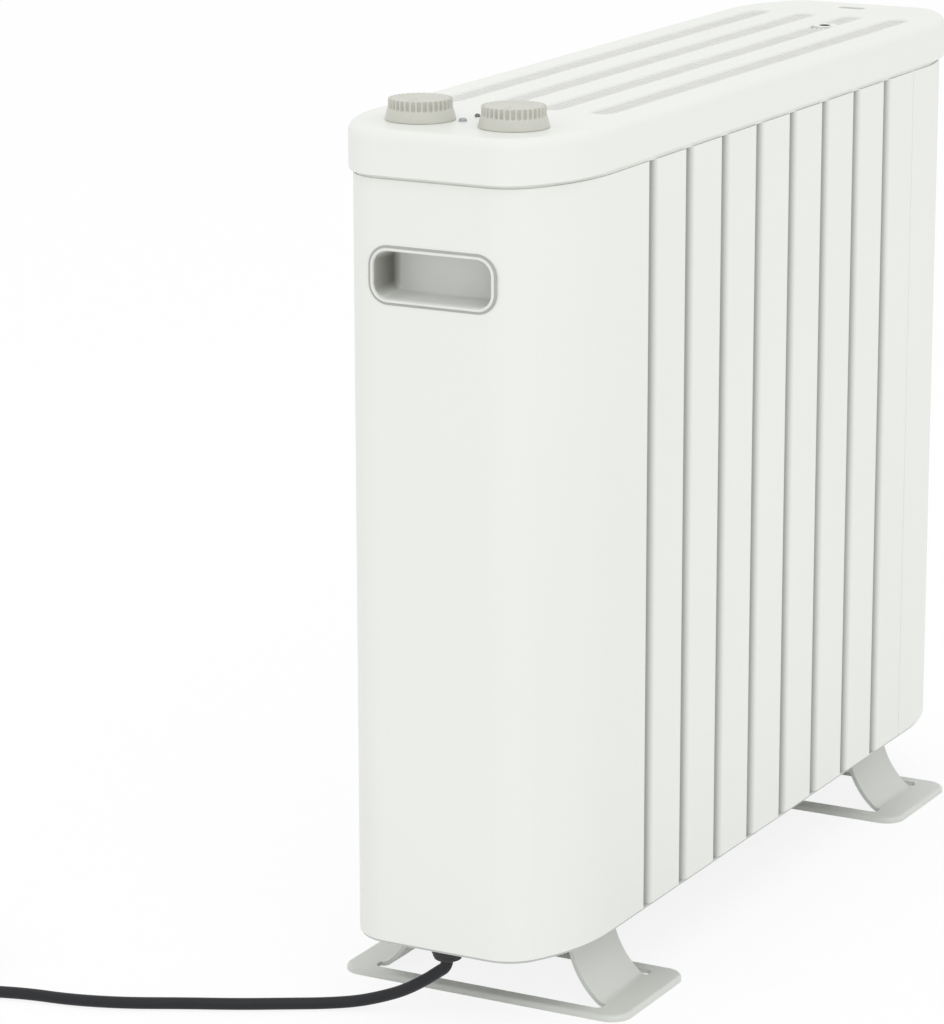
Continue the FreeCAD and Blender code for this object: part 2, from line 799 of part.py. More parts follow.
def cover_strap():
    """The strap over the last webs that the cover screws hold to."""
    body = new_body("cover_strap")
    outline = new_sketch(body, "outline", "XY_Plane", "seam")
    draw_box(outline, "rear_end - strap_front", "rear_end - ledge_inset - ledge_wall - fit_gap",
             "-strap_half", "strap_half")
    draw_circle(outline, "screw_x", "screw_y", "screw_shank + fit_gap")
    draw_circle(outline, "recess_x", "0", "screw_shank + fit_gap")
    pad(body, outline, "strap_sheet")


def screw(name, x, y, seat, tip, head, head_height, shank):
    """A screw along Z: its head stands on the seat, above it or below, and its shank runs to the tip."""
    upright = val(seat) > val(tip)
    head_low = seat if upright else f"{seat} - {head_height}"
    low, high = (tip, seat) if upright else (seat, tip)
    return fuse(name, [
        cylinder(name + "_head", "Z", (x, y, head_low), head, head_height),
        cylinder(name + "_shank", "Z", (x, y, low), shank, f"{high} - ({low})"),
    ])


def cover_screws():
    tip = "seam - screw_spare"
    sizes = ("screw_head", "screw_head_height", "screw_shank")
    screws = [
        screw("cover_screw_1", "screw_x", "screw_y", "screw_seat", tip, *sizes),
        screw("cover_screw_2", "recess_x", "0", "recess_seat", tip, *sizes),
    ]
    node(group("cover_screws", screws), "cover_screws")


# Hand-holds: a cup through the panel with a bezel on its face
def hand_hold(name, x, rotation):
    """The cup's own frame has its mouth towards -X, with the panel's face at X = 0."""
    body = new_body(name, x, "0", "hand_level", rotation)

    def draw_mouth(sketch, grow):
        half = f"(hand_width / 2 + {grow})"
        rise = f"(hand_height / 2 + {grow})"
        draw_rounded(sketch, f"-{half}", half, f"-{rise}", rise, f"hand_corner + {grow}")

    bezel = new_sketch(body, "bezel", "YZ_Plane", "-bezel_proud")
    draw_mouth(bezel, "bezel_rim")
    feature = pad(body, bezel, "bezel_proud")
    round_edges(body, feature, "bezel_edge", "X", "-bezel_proud")
    cup = new_sketch(body, "cup", "YZ_Plane")
    draw_mouth(cup, "hand_wall")
    pad(body, cup, "hand_depth + hand_wall")
    hollow = new_sketch(body, "hollow", "YZ_Plane", "-bezel_proud")
    draw_mouth(hollow, "0")
    feature = pocket(body, hollow, "hand_depth + bezel_proud", along_normal=True)
    round_edges(body, feature, "hand_hollow", "X", "hand_depth")


# Controls
def knob(name, y):
    """A hollow fluted knob on a flared skirt, its own frame at the middle of its underside."""
    body = new_body(name, "knob_x", y, "cover_top + knob_lift")
    profile = new_sketch(body, "profile", "XZ_Plane")
    draw(profile, [
        ("0", "0"), ("skirt_radius", "0"), ("knob_radius", "skirt_height"),
        ("knob_radius", "knob_height - knob_edge"), ("knob_radius - knob_edge", "knob_height"),
        ("0", "knob_height"),
    ], {3: "knob_edge"})
    turned = body.newObject("PartDesign::Revolution", name + "_turned")
    turned.Profile = profile
    turned.ReferenceAxis = (profile, ["V_Axis"])
    turned.Angle = 360
    hollow = new_sketch(body, "hollow", "XY_Plane")
    draw_circle(hollow, "0", "0", "knob_radius - knob_wall")
    pocket(body, hollow, "knob_height - knob_top", along_normal=True)
    hub = new_sketch(body, "hub", "XY_Plane", "hub_lift")
    draw_circle(hub, "0", "0", "hub_radius")
    pad(body, hub, "hub_height")
    bore = new_sketch(body, "bore", "XY_Plane", "hub_lift")
    draw_circle(bore, "0", "0", "spindle_radius + press_gap")
    pocket(body, bore, "hub_height", along_normal=True)
    pointer = new_sketch(body, "pointer", "XY_Plane", "knob_height")
    draw_box(pointer, "-pointer_end", "-pointer_start", "-pointer_width / 2", "pointer_width / 2")
    pocket(body, pointer, "pointer_depth")
    flute = new_sketch(body, "flute", "XY_Plane", "knob_height")
    draw_circle(flute, "knob_radius", "0", "flute_radius")
    cut_flute = pocket(body, flute, "knob_height - skirt_height")
    doc.recompute()
    flutes = body.newObject("PartDesign::PolarPattern", name + "_flutes")
    flutes.Originals = [cut_flute]
    flutes.Axis = ([item for item in body.Origin.OriginFeatures if item.Role == "Z_Axis"][0], [""])
    flutes.Angle = 360
    flutes.setExpression("Occurrences", fx("flute_count"))
    body.Tip = flutes


def control(name, y):
    """A control under the roof, with a threaded bushing up through it that its spindle turns in."""
    case = block(name + "_case", ("knob_x - control_size / 2", f"{y} - control_size / 2", "control_low"),
                 "control_size", "control_size", "control_height")
    bushing = cylinder(name + "_bushing", "Z", ("knob_x", y, "roof_under"), "bushing_radius",
                       "roof + control_nut_height + bushing_spare")
    bore = cylinder(name + "_bore", "Z", ("knob_x", y, "bore_low"), "spindle_radius + running_gap",
                    "spindle_depth + control_nut_height + bushing_spare")
    node(cut(name, fuse(name + "_blank", [case, bushing]), bore), name)


def spindle(name, y):
    low = "bore_low + fit_gap"
    high = "cover_top + knob_lift + knob_height - knob_top"
    node(cylinder(name, "Z", ("knob_x", y, low), "spindle_radius", f"{high} - ({low})"), name)


def control_nuts():
    nuts = []
    for number, y in enumerate(("-knob_side", "knob_side"), 1):
        nuts.append(nut(f"control_nut_{number}", "Z", ("knob_x", y, "cover_top"), "control_nut_radius",
                        "control_nut_height", "bushing_radius + running_gap"))
    node(group("control_nuts", nuts), "control_nuts")


def pilot_lamp():
    """A domed lens on the roof, its stem in the lamp's body below."""
    lens = new_body("pilot_lamp_lens", "lamp_x", "lamp_side", "cover_top")
    dome = new_sketch(lens, "dome", "XY_Plane")
    draw_circle(dome, "0", "0", "lamp_radius")
    feature = pad(lens, dome, "lamp_height")
    round_edges(lens, feature, "lamp_round", "Z", "lamp_height")
    stem = new_sketch(lens, "stem", "XY_Plane")
    draw_circle(stem, "0", "0", "lamp_stem")
    pad(lens, stem, "lamp_stem_length", against_normal=True)
    low = "roof_under - lamp_body_length"
    case = cylinder("lamp_case", "Z", ("lamp_x", "lamp_side", low), "lamp_body_radius", "lamp_body_length")
    socket_low = "cover_top - lamp_stem_length"
    socket = cylinder("lamp_socket", "Z", ("lamp_x", "lamp_side", socket_low), "lamp_stem + press_gap",
                      f"roof_under - ({socket_low})")
    node(cut("pilot_lamp_body", case, socket), "pilot_lamp_body")


# Feet: a pressed plate with two curved tongues lanced out of it, which carry the tray
def foot(name, x):
    body = new_body(name, x)
    plate = new_sketch(body, "plate", "XY_Plane")
    draw_rounded(plate, "-foot_half", "foot_half", "-foot_reach", "foot_reach", "foot_corner")
    feature = pad(body, plate, "foot_top")
    round_edges(body, feature, "foot_edge", "Z", "foot_top")
    pan = new_sketch(body, "pan", "XY_Plane")
    draw_rounded(pan, "-(foot_half - rim_width)", "foot_half - rim_width", "-(foot_reach - rim_width)",
                 "foot_reach - rim_width", "foot_corner - rim_width")
    pocket(body, pan, "rim_drop", along_normal=True)
    window = new_sketch(body, "window", "XY_Plane")
    draw_rounded(window, "-(tongue_width / 2 + slit)", "tongue_width / 2 + slit", "-slit_end", "slit_end",
                 "slit / 2")
    pocket(body, window, along_normal=True)
    tongue = new_sketch(body, "tongue", "YZ_Plane", "-tongue_width / 2")
    inner_top = "leg_centre - sqrt(leg_inner^2 - foot_sheet^2)"

    def bend_end(radius):
        return f"bend_place + {radius} * bend_out", f"bend_level + {radius} * bend_down"

    profile = [
        ("slit_end + tongue_root", "rim_drop"), ("slit_end + tongue_root", "foot_top"),
        ("bend_place", "foot_top"), bend_end("leg_bend"), ("leg_top", "ground_gap"),
        ("tab_end", "ground_gap"), ("tab_end", "ground_gap - foot_sheet"),
        (inner_top, "ground_gap - foot_sheet"), bend_end("(leg_bend + foot_sheet)"),
        ("bend_place", "rim_drop"),
    ]
    arcs = {2: "leg_bend", 3: "leg_radius", 7: "leg_inner", 8: "leg_bend + foot_sheet"}
    draw(tongue, profile, arcs, right=(2, 3))
    one_tongue = pad(body, tongue, "tongue_width")
    doc.recompute()
    tongues = body.newObject("PartDesign::Mirrored", name + "_tongues")
    tongues.Originals = [one_tongue]
    tongues.MirrorPlane = ([item for item in body.Origin.OriginFeatures if item.Role == "XZ_Plane"][0], [""])
    body.Tip = tongues
    holes = new_sketch(body, "holes", "XY_Plane", "ground_gap")
    for run in ("-foot_screw_run", "foot_screw_run"):
        for place in ("-foot_screw_side", "foot_screw_side"):
            draw_circle(holes, run, place, "foot_screw_shank + fit_gap")
    pocket(body, holes, "2 * foot_sheet")


def foot_screw_places():
    """Where the foot screws stand on the floor plan."""
    return [(f"{end} * foot_x + {run} * foot_screw_run", f"{flank} * foot_screw_side")
            for end in (-1, 1) for run in (-1, 1) for flank in (-1, 1)]


def foot_screws():
    screws = []
    for number, (x, y) in enumerate(foot_screw_places(), 1):
        screws.append(screw(f"foot_screw_{number}", x, y, "ground_gap - foot_sheet",
                            "underside + foot_screw_spare", "foot_screw_head", "foot_screw_head_height",
                            "foot_screw_shank"))
    node(group("foot_screws", screws), "foot_screws")


# Heating elements and what carries them
ELEMENT_SIDES = {1: "-element_side", 2: "element_side"}


def heating_element(number):
    """A finned bar of X-shaped section with a pin at each end, turned so that its arms slant."""
    body = new_body(f"heating_element_{number}", "element_front", ELEMENT_SIDES[number], "element_level",
                    FreeCAD.Rotation(Vector(1, 0, 0), 45))
    cross = new_sketch(body, "cross", "YZ_Plane")
    thin = "arm_sheet / 2"
    draw(cross, [
        (thin, f"-{thin}"), ("arm_reach", f"-{thin}"), ("arm_reach", thin), (thin, thin),
        (thin, "arm_reach"), (f"-{thin}", "arm_reach"), (f"-{thin}", thin), ("-arm_reach", thin),
        ("-arm_reach", f"-{thin}"), (f"-{thin}", f"-{thin}"), (f"-{thin}", "-arm_reach"),
        (thin, "-arm_reach"),
    ])
    pad(body, cross, "element_rear - element_front")
    pins = new_sketch(body, "pins", "YZ_Plane", "-pin_length")
    draw_circle(pins, "0", "0", "pin_radius")
    pad(body, pins, "element_rear - element_front + 2 * pin_length")


def element_bracket(name, plate, flange):
    """An upright plate on the tray with a hole for the bush of each element, and its folded flange."""
    parts = [
        block(name + "_plate", (plate, "-bracket_half", "underside"), "bracket_sheet", "2 * bracket_half",
              "bracket_height"),
        block(name + "_flange", (flange, "-bracket_half", "underside"), "bracket_flange", "2 * bracket_half",
              "bracket_sheet"),
    ]
    blank = fuse(name + "_blank", parts)
    holes = [cylinder(f"{name}_hole_{number}", "X", (plate, place, "element_level"),
                      "bush_radius + press_gap", "bracket_sheet")
             for number, place in ELEMENT_SIDES.items()]
    node(cut(name, blank, group(name + "_holes", holes)), name)


def element_insulators():
    """A ceramic bush round each pin, in its bracket's hole."""
    bushes = []
    for end, plate in (("front", "front_bracket"), ("rear", "rear_bracket")):
        low = f"{plate} + bracket_sheet / 2 - bush_length / 2"
        for number, place in ELEMENT_SIDES.items():
            name = f"bush_{end}_{number}"
            base = (low, place, "element_level")
            blank = cylinder(name + "_blank", "X", base, "bush_radius", "bush_length")
            bore = cylinder(name + "_bore", "X", base, "pin_radius + press_gap", "bush_length")
            bushes.append(cut(name, blank, bore))
    node(group("element_insulators", bushes), "element_insulators")


def thermal_cutout():
    node(cylinder("thermal_cutout", "X", ("front_bracket - cutout_length", "0", "underside + cutout_height"),
                  "cutout_radius", "cutout_length"), "thermal_cutout")


def terminal_block():
    node(block("terminal_block", ("terminal_x", "-terminal_half", "underside"), "terminal_length",
               "2 * terminal_half", "terminal_height"), "terminal_block")


# Tubes along paths of straight runs and arcs
def rounded_path(points):
    """Straight runs joined by tangent arcs, each as large as its two runs allow, and the arcs' radii."""
    edges = []
    radii = []
    start = points[0]
    for before, here, after in zip(points, points[1:], points[2:]):
        back = before - here
        ahead = after - here
        half_turn = (math.pi - back.getAngle(ahead)) / 2
        setback = ARC_SHARE * min(back.Length, ahead.Length)
        radius = setback / math.tan(half_turn)
        first = here + back.normalize() * setback
        last = here + ahead.normalize() * setback
        inward = ((first + last) * 0.5 - here).normalize()
        middle = here + inward * (radius / math.cos(half_turn) - radius)
        edges.append(Part.LineSegment(start, first).toShape())
        edges.append(Part.Arc(first, middle, last).toShape())
        radii.append(radius)
        start = last
    edges.append(Part.LineSegment(start, points[-1]).toShape())
    return edges, radii


def tube(edges, radius):
    """A round bar along edges that follow each other smoothly."""
    start = edges[0].valueAt(edges[0].FirstParameter)
    heading = edges[0].tangentAt(edges[0].FirstParameter)
    ring = Part.Wire([Part.Circle(start, heading, radius).toShape()])
    return Part.Wire(edges).makePipeShell([ring], True, False)


def solid(name, shape):
    """A piece whose shape is made here, not by a feature."""
    item = doc.addObject("Part::Feature", name)
    item.Shape = shape
    return item


def report_tube(name, shape, edges, radius):
    path = sum(edge.Length for edge in edges)
    section = math.pi * radius ** 2
    print(f"{name}: length {path:.1f}, volume / (section x length) {shape.Volume / (section * path):.4f}")


def spot(x, y, z):
    return Vector(val(x), val(y), val(z))


def wiring():
    """Wires from the terminals to the controls and on to the elements, and the lead from the gland."""
    up = Vector(0, 0, val("wire_lead"))
    out = Vector(-val("wire_lead"), 0, 0)
    routes = []
    for flank, pin_side in ((-1, "-element_side"), (1, "element_side")):
        feed = spot("terminal_x + wire_spread / 2", f"{flank} * wire_spread", "terminal_top")
        inner_side = f"{flank} * (knob_side - wire_spread / 2)"
        outer_side = f"{flank} * (knob_side + wire_spread / 2)"
        control_in = spot("knob_x - wire_spread / 2", inner_side, "control_low")
        control_out = spot("knob_x + wire_spread / 2", outer_side, "control_low")
        pin = spot("element_front - pin_length", pin_side, "element_level")
        routes.append([feed, feed + up, control_in - up, control_in])
        routes.append([control_out, control_out - up, pin + out, pin])
    tubes = [tube(rounded_path(route)[0], val("wire_radius")) for route in routes]
    lead_in = spot("gland_x", "0", "gland_top")
    lead_out = spot("terminal_x + terminal_length / 2", "0", "terminal_top")
    high = lead_in.z + up.z
    lead = [lead_in, Vector(lead_in.x, 0, high), Vector(lead_out.x, 0, high), lead_out]
    tubes.append(tube(rounded_path(lead)[0], val("cord_radius")))
    node(solid("wiring", Part.makeCompound(tubes)), "wiring")


# Mains cord
def cord_gland():
    """A tapered gland under the tray, its neck up through it, and the recess that the cord starts in."""
    base = ("gland_x", "0", "ground_gap - gland_height")
    flange = cone("gland_flange", "Z", base, "gland_nose", "gland_radius", "gland_height")
    neck = cylinder("gland_neck_bar", "Z", ("gland_x", "0", "ground_gap"), "gland_neck", "gland_neck_height")
    recess = cylinder("gland_recess_bar", "Z", base, "cord_radius + cord_gap", "gland_recess")
    node(cut("cord_gland", fuse("gland_blank", [flange, neck]), recess), "cord_gland")
    node(nut("gland_nut", "Z", ("gland_x", "0", "underside"), "gland_nut_radius", "gland_nut_height",
             "gland_neck + running_gap"), "gland_nut")


def coil_place(turn):
    """A point of the coil's centre line: in along the lower layer, up in half a turn and out again."""
    pitch = val("coil_pitch")
    low = val("coil_lift + cord_radius")
    inner = val("coil_outer") - pitch * COIL_LOWER_TURNS
    if turn <= COIL_LOWER_TURNS:
        radius = val("coil_outer") - pitch * turn
        level = low
    elif turn <= COIL_LOWER_TURNS + COIL_CLIMB_TURNS:
        share = (turn - COIL_LOWER_TURNS) / COIL_CLIMB_TURNS
        radius = inner - pitch * COIL_CLIMB_TURNS * share * (1 - share)
        level = low + pitch * share ** 2 * (3 - 2 * share)
    else:
        radius = inner + pitch * (turn - COIL_LOWER_TURNS - COIL_CLIMB_TURNS)
        level = low + pitch
    angle = math.radians(COIL_START_ANGLE - 360 * turn)
    return Vector(val("coil_x") + radius * math.cos(angle), val("coil_y") + radius * math.sin(angle), level)


def coil_heading(turn):
    return (coil_place(turn + HEADING_STEP) - coil_place(turn - HEADING_STEP)).normalize()


def arc_from(start, heading, stop):
    """The middle of the arc that leaves start along a heading and ends at stop."""
    chord = stop - start
    half = heading.getAngle(chord) / 2
    direction = (heading + Vector(chord).normalize()).normalize()
    return start + direction * (chord.Length / 2 / math.cos(half))


def biarc(start, heading, stop, end_heading):
    """Two arcs that join two points with given headings."""
    chord = stop - start
    total = heading + end_heading
    spread = 2 * (1 - heading.dot(end_heading))
    along = chord.dot(total)
    if spread < TINY:
        reach = chord.dot(chord) / (2 * along)
    else:
        reach = (math.sqrt(along ** 2 + spread * chord.dot(chord)) - along) / spread
    joint = (start + heading * reach + stop - end_heading * reach) * 0.5
    return [
        Part.Arc(start, arc_from(start, heading, joint), joint).toShape(),
        Part.Arc(joint, arc_from(stop, -end_heading, joint), stop).toShape(),
    ]


def coil_edges():
    """The coil's path: a straight lead-in, quarter turns, a rise to the plug's axis and a straight end."""
    quarters = int(4 * (COIL_LOWER_TURNS + COIL_CLIMB_TURNS + COIL_UPPER_TURNS))
    turns = [number / 4 for number in range(quarters + 1)]
    stations = [(coil_place(turn), coil_heading(turn)) for turn in turns]
    stations[0] = (stations[0][0], flat(stations[0][1]))
    last, heading = stations[-1]
    heading = flat(heading)
    stations[-1] = (last, heading)
    plug_start = last + heading * val("plug_run") + Vector(0, 0, val("plug_rise"))
    stations.append((plug_start, heading))
    straight = val("cord_diameter")
    first, first_heading = stations[0]
    edges = [Part.LineSegment(first - first_heading * straight, first).toShape()]
    for (start, out), (stop, into) in zip(stations, stations[1:]):
        edges += biarc(start, out, stop, into)
    end = plug_start + heading * straight
    edges.append(Part.LineSegment(plug_start, end).toShape())
    return edges, end, heading


def flat(heading):
    return Vector(heading.x, heading.y, 0).normalize()


def least_gap(edges, diameter):
    """The least gap between stretches of a tube that aren't neighbours along it."""
    points = []
    travelled = 0
    for edge in edges:
        count = max(2, int(edge.Length / GAP_STEP))
        for number in range(count):
            share = edge.Length * number / count
            points.append((travelled + share, edge.valueAt(edge.getParameterByLength(share))))
        travelled += edge.Length
    least = min(first.distanceToPoint(second)
                for number, (first_way, first) in enumerate(points)
                for second_way, second in points[number + 1:]
                if second_way - first_way > GAP_SKIP)
    return least - diameter


def mains_cord():
    """The cord's free stretch, its coil, and the plug at its end."""
    radius = val("cord_radius")
    edges, end, heading = coil_edges()
    start = edges[0].valueAt(edges[0].FirstParameter)
    into = edges[0].tangentAt(edges[0].FirstParameter)
    shape = tube(edges, radius)
    report_tube("cord_coil", shape, edges, radius)
    print(f"cord_coil: least gap to itself {least_gap(edges, 2 * radius):.2f}")
    node(solid("cord_coil", shape), "cord_coil")
    points = [Vector(*point) for point in CORD_ROUTE]
    points += [start - into * (LAST_RUN_SHARE * (start - points[-1]).Length), start]
    edges, radii = rounded_path(points)
    print("mains_cord: arc radii " + " ".join(f"{number:.0f}" for number in radii))
    shape = tube(edges, radius)
    report_tube("mains_cord", shape, edges, radius)
    node(solid("mains_cord", shape), "mains_cord")
    plug(FreeCAD.Placement(end, FreeCAD.Rotation(Vector(1, 0, 0), heading)))


def cord_tie():
    """A flat band round the coil's turns where they lie closest together."""
    inner = val("coil_outer - cord_radius - tie_gap") - val("coil_pitch") * COIL_LOWER_TURNS
    outer = val("coil_outer + cord_radius + tie_gap") - val("coil_pitch") / 2
    angle = math.radians(TIE_ANGLE)
    middle = (inner + outer) / 2
    centre = Vector(val("coil_x") + middle * math.cos(angle), val("coil_y") + middle * math.sin(angle), 0)
    half = (outer - inner) / 2
    body = doc.addObject("PartDesign::Body", "cord_tie")
    body.Placement = FreeCAD.Placement(centre, FreeCAD.Rotation(Vector(0, 0, 1), TIE_ANGLE))
    node(body, "cord_tie")
    band = new_sketch(body, "band", "XZ_Plane", "-tie_width / 2")
    low = "coil_lift - tie_gap"
    high = "coil_lift + cord_diameter + coil_pitch + tie_gap"
    draw_rounded(band, f"-{half}", f"{half}", low, high, "tie_corner")
    draw_rounded(band, f"-({half} + tie_sheet)", f"{half} + tie_sheet", f"{low} - tie_sheet",
                 f"{high} + tie_sheet", "tie_corner + tie_sheet")
    pad(body, band, "tie_width")


def plug(placement):
    """A round moulded plug along X from the cord's end, with a tapered strain relief and two pins."""
    relief = cone("plug_relief", "X", ("0", "0", "0"), "relief_thin", "relief_thick", "relief_length")
    bulk = cone("plug_bulk", "X", ("relief_length", "0", "0"), "plug_thin", "plug_thick", "plug_length")
    blank = fuse("plug_blank", [relief, bulk])
    start = "relief_length + plug_length / 2 - plug_notch_length / 2"
    inside = "(plug_thin + plug_thick) / 2 - plug_notch"
    notches = [
        block("plug_notch_1", (start, inside, "-plug_thick"), "plug_notch_length", "2 * plug_notch",
              "2 * plug_thick"),
        block("plug_notch_2", (start, f"-({inside}) - 2 * plug_notch", "-plug_thick"), "plug_notch_length",
              "2 * plug_notch", "2 * plug_thick"),
    ]
    body = cut("plug_body", blank, group("plug_notches", notches))
    body.Placement = placement
    node(body, "plug_body")
    face = "relief_length + plug_length"
    pins = [cylinder(f"plug_pin_{number}", "X", (face, f"{flank} * plug_pin_side", "0"), "plug_pin_radius",
                     "plug_pin_length")
            for number, flank in enumerate((-1, 1), 1)]
    both = group("plug_pins", pins)
    both.Placement = placement
    node(both, "plug_pins")


# Build
front_end_panel()
fin_count = int(val("fin_count"))
for fin_number in range(1, fin_count + 1):
    fin(fin_number, "rear_gap" if fin_number == fin_count else "fin_gap")
rear_end_panel()
tie_rods()
base_tray()
top_cover()
outlet_louvre()
cover_strap()
cover_screws()
half_turn = FreeCAD.Rotation(Vector(0, 0, 1), 180)
hand_hold("hand_hold_front", "front_end", FreeCAD.Rotation())
hand_hold("hand_hold_rear", "rear_end", half_turn)
for control_name, control_y in (("thermostat", "-knob_side"), ("selector", "knob_side")):
    knob(control_name + "_knob", control_y)
    spindle(control_name + "_spindle", control_y)
control("thermostat_body", "-knob_side")
control("selector_switch_body", "knob_side")
control_nuts()
pilot_lamp()
foot("foot_front", "-foot_x")
foot("foot_rear", "foot_x")
foot_screws()
for element_number in ELEMENT_SIDES:
    heating_element(element_number)
element_bracket("element_bracket_front", "front_bracket", "front_bracket - bracket_flange")
element_bracket("element_bracket_rear", "rear_bracket", "rear_bracket + bracket_sheet")
element_insulators()
thermal_cutout()
terminal_block()
wiring()
cord_gland()
mains_cord()
cord_tie()
doc.recompute()

# Check every object, then every sub-part, before anything is written
for item in doc.Objects:
    if "Invalid" in item.State or "Error" in item.State:
        raise RuntimeError(f"{item.Name} failed: {item.State}")
    if item.TypeId == "PartDesign::Pocket" and item.Shape.Volume >= item.BaseFeature.Shape.Volume - TINY:
        raise RuntimeError(f"{item.Name} cuts nothing")
for item in nodes:
    if item.Shape.isNull() or not item.Shape.isValid():
        raise RuntimeError(f"{item.Label} has no valid shape")
os.makedirs("parts", exist_ok=True)
for item in nodes:
    item.Shape.exportStep(f"parts/{item.Label}.step")
    print(f"{item.Label}: {len(item.Shape.Solids)} solids, {item.Shape.Volume:.0f} cubic mm")
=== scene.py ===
import math

import bmesh
import bpy
from mathutils import Matrix, Vector


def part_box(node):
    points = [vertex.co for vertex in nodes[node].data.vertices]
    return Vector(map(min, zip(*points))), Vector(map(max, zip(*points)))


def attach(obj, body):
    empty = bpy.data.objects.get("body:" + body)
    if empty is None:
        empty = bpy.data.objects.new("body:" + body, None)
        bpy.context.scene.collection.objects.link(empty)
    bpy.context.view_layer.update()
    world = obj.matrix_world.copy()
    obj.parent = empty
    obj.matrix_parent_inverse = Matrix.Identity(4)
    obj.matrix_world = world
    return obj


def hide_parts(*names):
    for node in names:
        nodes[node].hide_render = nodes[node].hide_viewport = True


# An oil-free radiator: the finish of its painted casing, controls, feet and mains cord, in metres, in the
# frame of its solids.

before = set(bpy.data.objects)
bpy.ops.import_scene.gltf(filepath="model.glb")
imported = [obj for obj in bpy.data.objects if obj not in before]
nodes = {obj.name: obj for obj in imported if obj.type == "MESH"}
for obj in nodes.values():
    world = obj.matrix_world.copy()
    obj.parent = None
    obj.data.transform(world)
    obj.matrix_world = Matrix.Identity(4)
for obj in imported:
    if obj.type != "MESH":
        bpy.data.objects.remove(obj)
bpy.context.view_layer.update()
scene = bpy.context.scene

# Camera, from the vanishing lines of the casing in a picture 944 wide and 1024 high. The sensor's size is
# that of the picture's longer side, its height.
CAMERA_PLACE = Vector((-2.1574, -1.0398, 0.8392))
CAMERA_BACK = Vector((-0.85154, -0.46118, 0.24938))
CAMERA_RIGHT = Vector((0.47569, -0.87961, -0.00236))
PICTURE_HEIGHT = 1024
FOCAL_PIXELS = 4237
SENSOR = 36


def make_camera():
    data = bpy.data.cameras.new("camera")
    data.sensor_width = SENSOR
    data.lens = FOCAL_PIXELS / PICTURE_HEIGHT * SENSOR
    camera = bpy.data.objects.new("camera", data)
    scene.collection.objects.link(camera)
    up = CAMERA_BACK.cross(CAMERA_RIGHT)
    turn = Matrix((CAMERA_RIGHT, up, CAMERA_BACK)).transposed().to_4x4()
    camera.matrix_world = Matrix.Translation(CAMERA_PLACE) @ turn
    scene.camera = camera


make_camera()

# Mains cord: its route from the gland to the coil, the coil's turns, and the rise into the plug
MILLIMETRE = 0.001
CORD_DIAMETER = 0.0066
CORD_ORDER = 3
CORD_STEPS = 8
CORD_ROUNDNESS = 6
CORD_ROUTE = [
    (-266.0, 0.0, 37.5), (-266.0, 0.0, 29.9), (-266.3, 6.1, 25.4), (-267.2, 12.6, 20.4),
    (-269.4, 25.0, 12.6), (-272.8, 38.0, 7.6), (-278.0, 51.0, 4.3), (-286.5, 66.5, 3.3),
    (-295.5, 82.5, 3.3), (-309.5, 107.0, 3.3), (-322.3, 134.0, 3.3), (-337.5, 163.0, 3.3),
    (-347.0, 192.0, 3.3), (-350.0, 216.0, 3.3), (-357.0, 238.5, 3.3), (-365.0, 258.0, 3.6),
]
COIL_CENTRE = Vector((-0.3351, 0.3096, 0))
COIL_OUTER = 0.0453
COIL_PITCH = 0.0072
COIL_LOW = 0.0048
COIL_START_ANGLE = 200
COIL_LOWER_TURNS = 2.5
COIL_CLIMB_TURNS = 0.5
COIL_UPPER_TURNS = 2.25
COIL_TURNS = COIL_LOWER_TURNS + COIL_CLIMB_TURNS + COIL_UPPER_TURNS
POINTS_PER_TURN = 16
LAST_RUN_SHARE = 0.4
HEADING_STEP = 1e-3
PLUG_RUN = 0.030
PLUG_RISE = 0.0065
RISE_LEAD = 0.010


def coil_place(turn):
    """A point of the coil's line: in along the lower layer, up in half a turn and out again."""
    inner = COIL_OUTER - COIL_PITCH * COIL_LOWER_TURNS
    climb = (turn - COIL_LOWER_TURNS) / COIL_CLIMB_TURNS
    if climb <= 0:
        radius = COIL_OUTER - COIL_PITCH * turn
        level = COIL_LOW
    elif climb <= 1:
        radius = inner - COIL_PITCH * COIL_CLIMB_TURNS * climb * (1 - climb)
        level = COIL_LOW + COIL_PITCH * climb ** 2 * (3 - 2 * climb)
    else:
        radius = inner + COIL_PITCH * (climb - 1) * COIL_CLIMB_TURNS
        level = COIL_LOW + COIL_PITCH
    angle = math.radians(COIL_START_ANGLE - 360 * turn)
    return COIL_CENTRE + Vector((radius * math.cos(angle), radius * math.sin(angle), level))


def coil_heading(turn):
    step = coil_place(turn + HEADING_STEP) - coil_place(turn - HEADING_STEP)
    return Vector((step.x, step.y, 0)).normalized()


def coil_control_points():
    """Control points of the turns, which stand a little outside the line that they draw."""
    spread = 1 / (0.75 + 0.25 * math.cos(2 * math.pi / POINTS_PER_TURN))
    points = []
    for number in range(int(COIL_TURNS * POINTS_PER_TURN) + 1):
        out = coil_place(number / POINTS_PER_TURN) - COIL_CENTRE
        points.append(COIL_CENTRE + Vector((out.x * spread, out.y * spread, out.z)))
    return points


COIL_END = coil_place(COIL_TURNS)
PLUG_HEADING = coil_heading(COIL_TURNS)
PLUG_START = COIL_END + PLUG_HEADING * PLUG_RUN + Vector((0, 0, PLUG_RISE))
PLUG_ENTRY = PLUG_START + PLUG_HEADING * CORD_DIAMETER


def cord_control_points():
    points = [Vector(point) * MILLIMETRE for point in CORD_ROUTE]
    start_heading = coil_heading(0)
    coil_start = coil_place(0) - start_heading * CORD_DIAMETER
    last_run = LAST_RUN_SHARE * (coil_start - points[-1]).length
    points += [coil_start - start_heading * last_run, coil_start]
    points += coil_control_points()
    lead = PLUG_HEADING * RISE_LEAD
    return points + [COIL_END + lead, PLUG_START - lead, PLUG_START, PLUG_ENTRY]


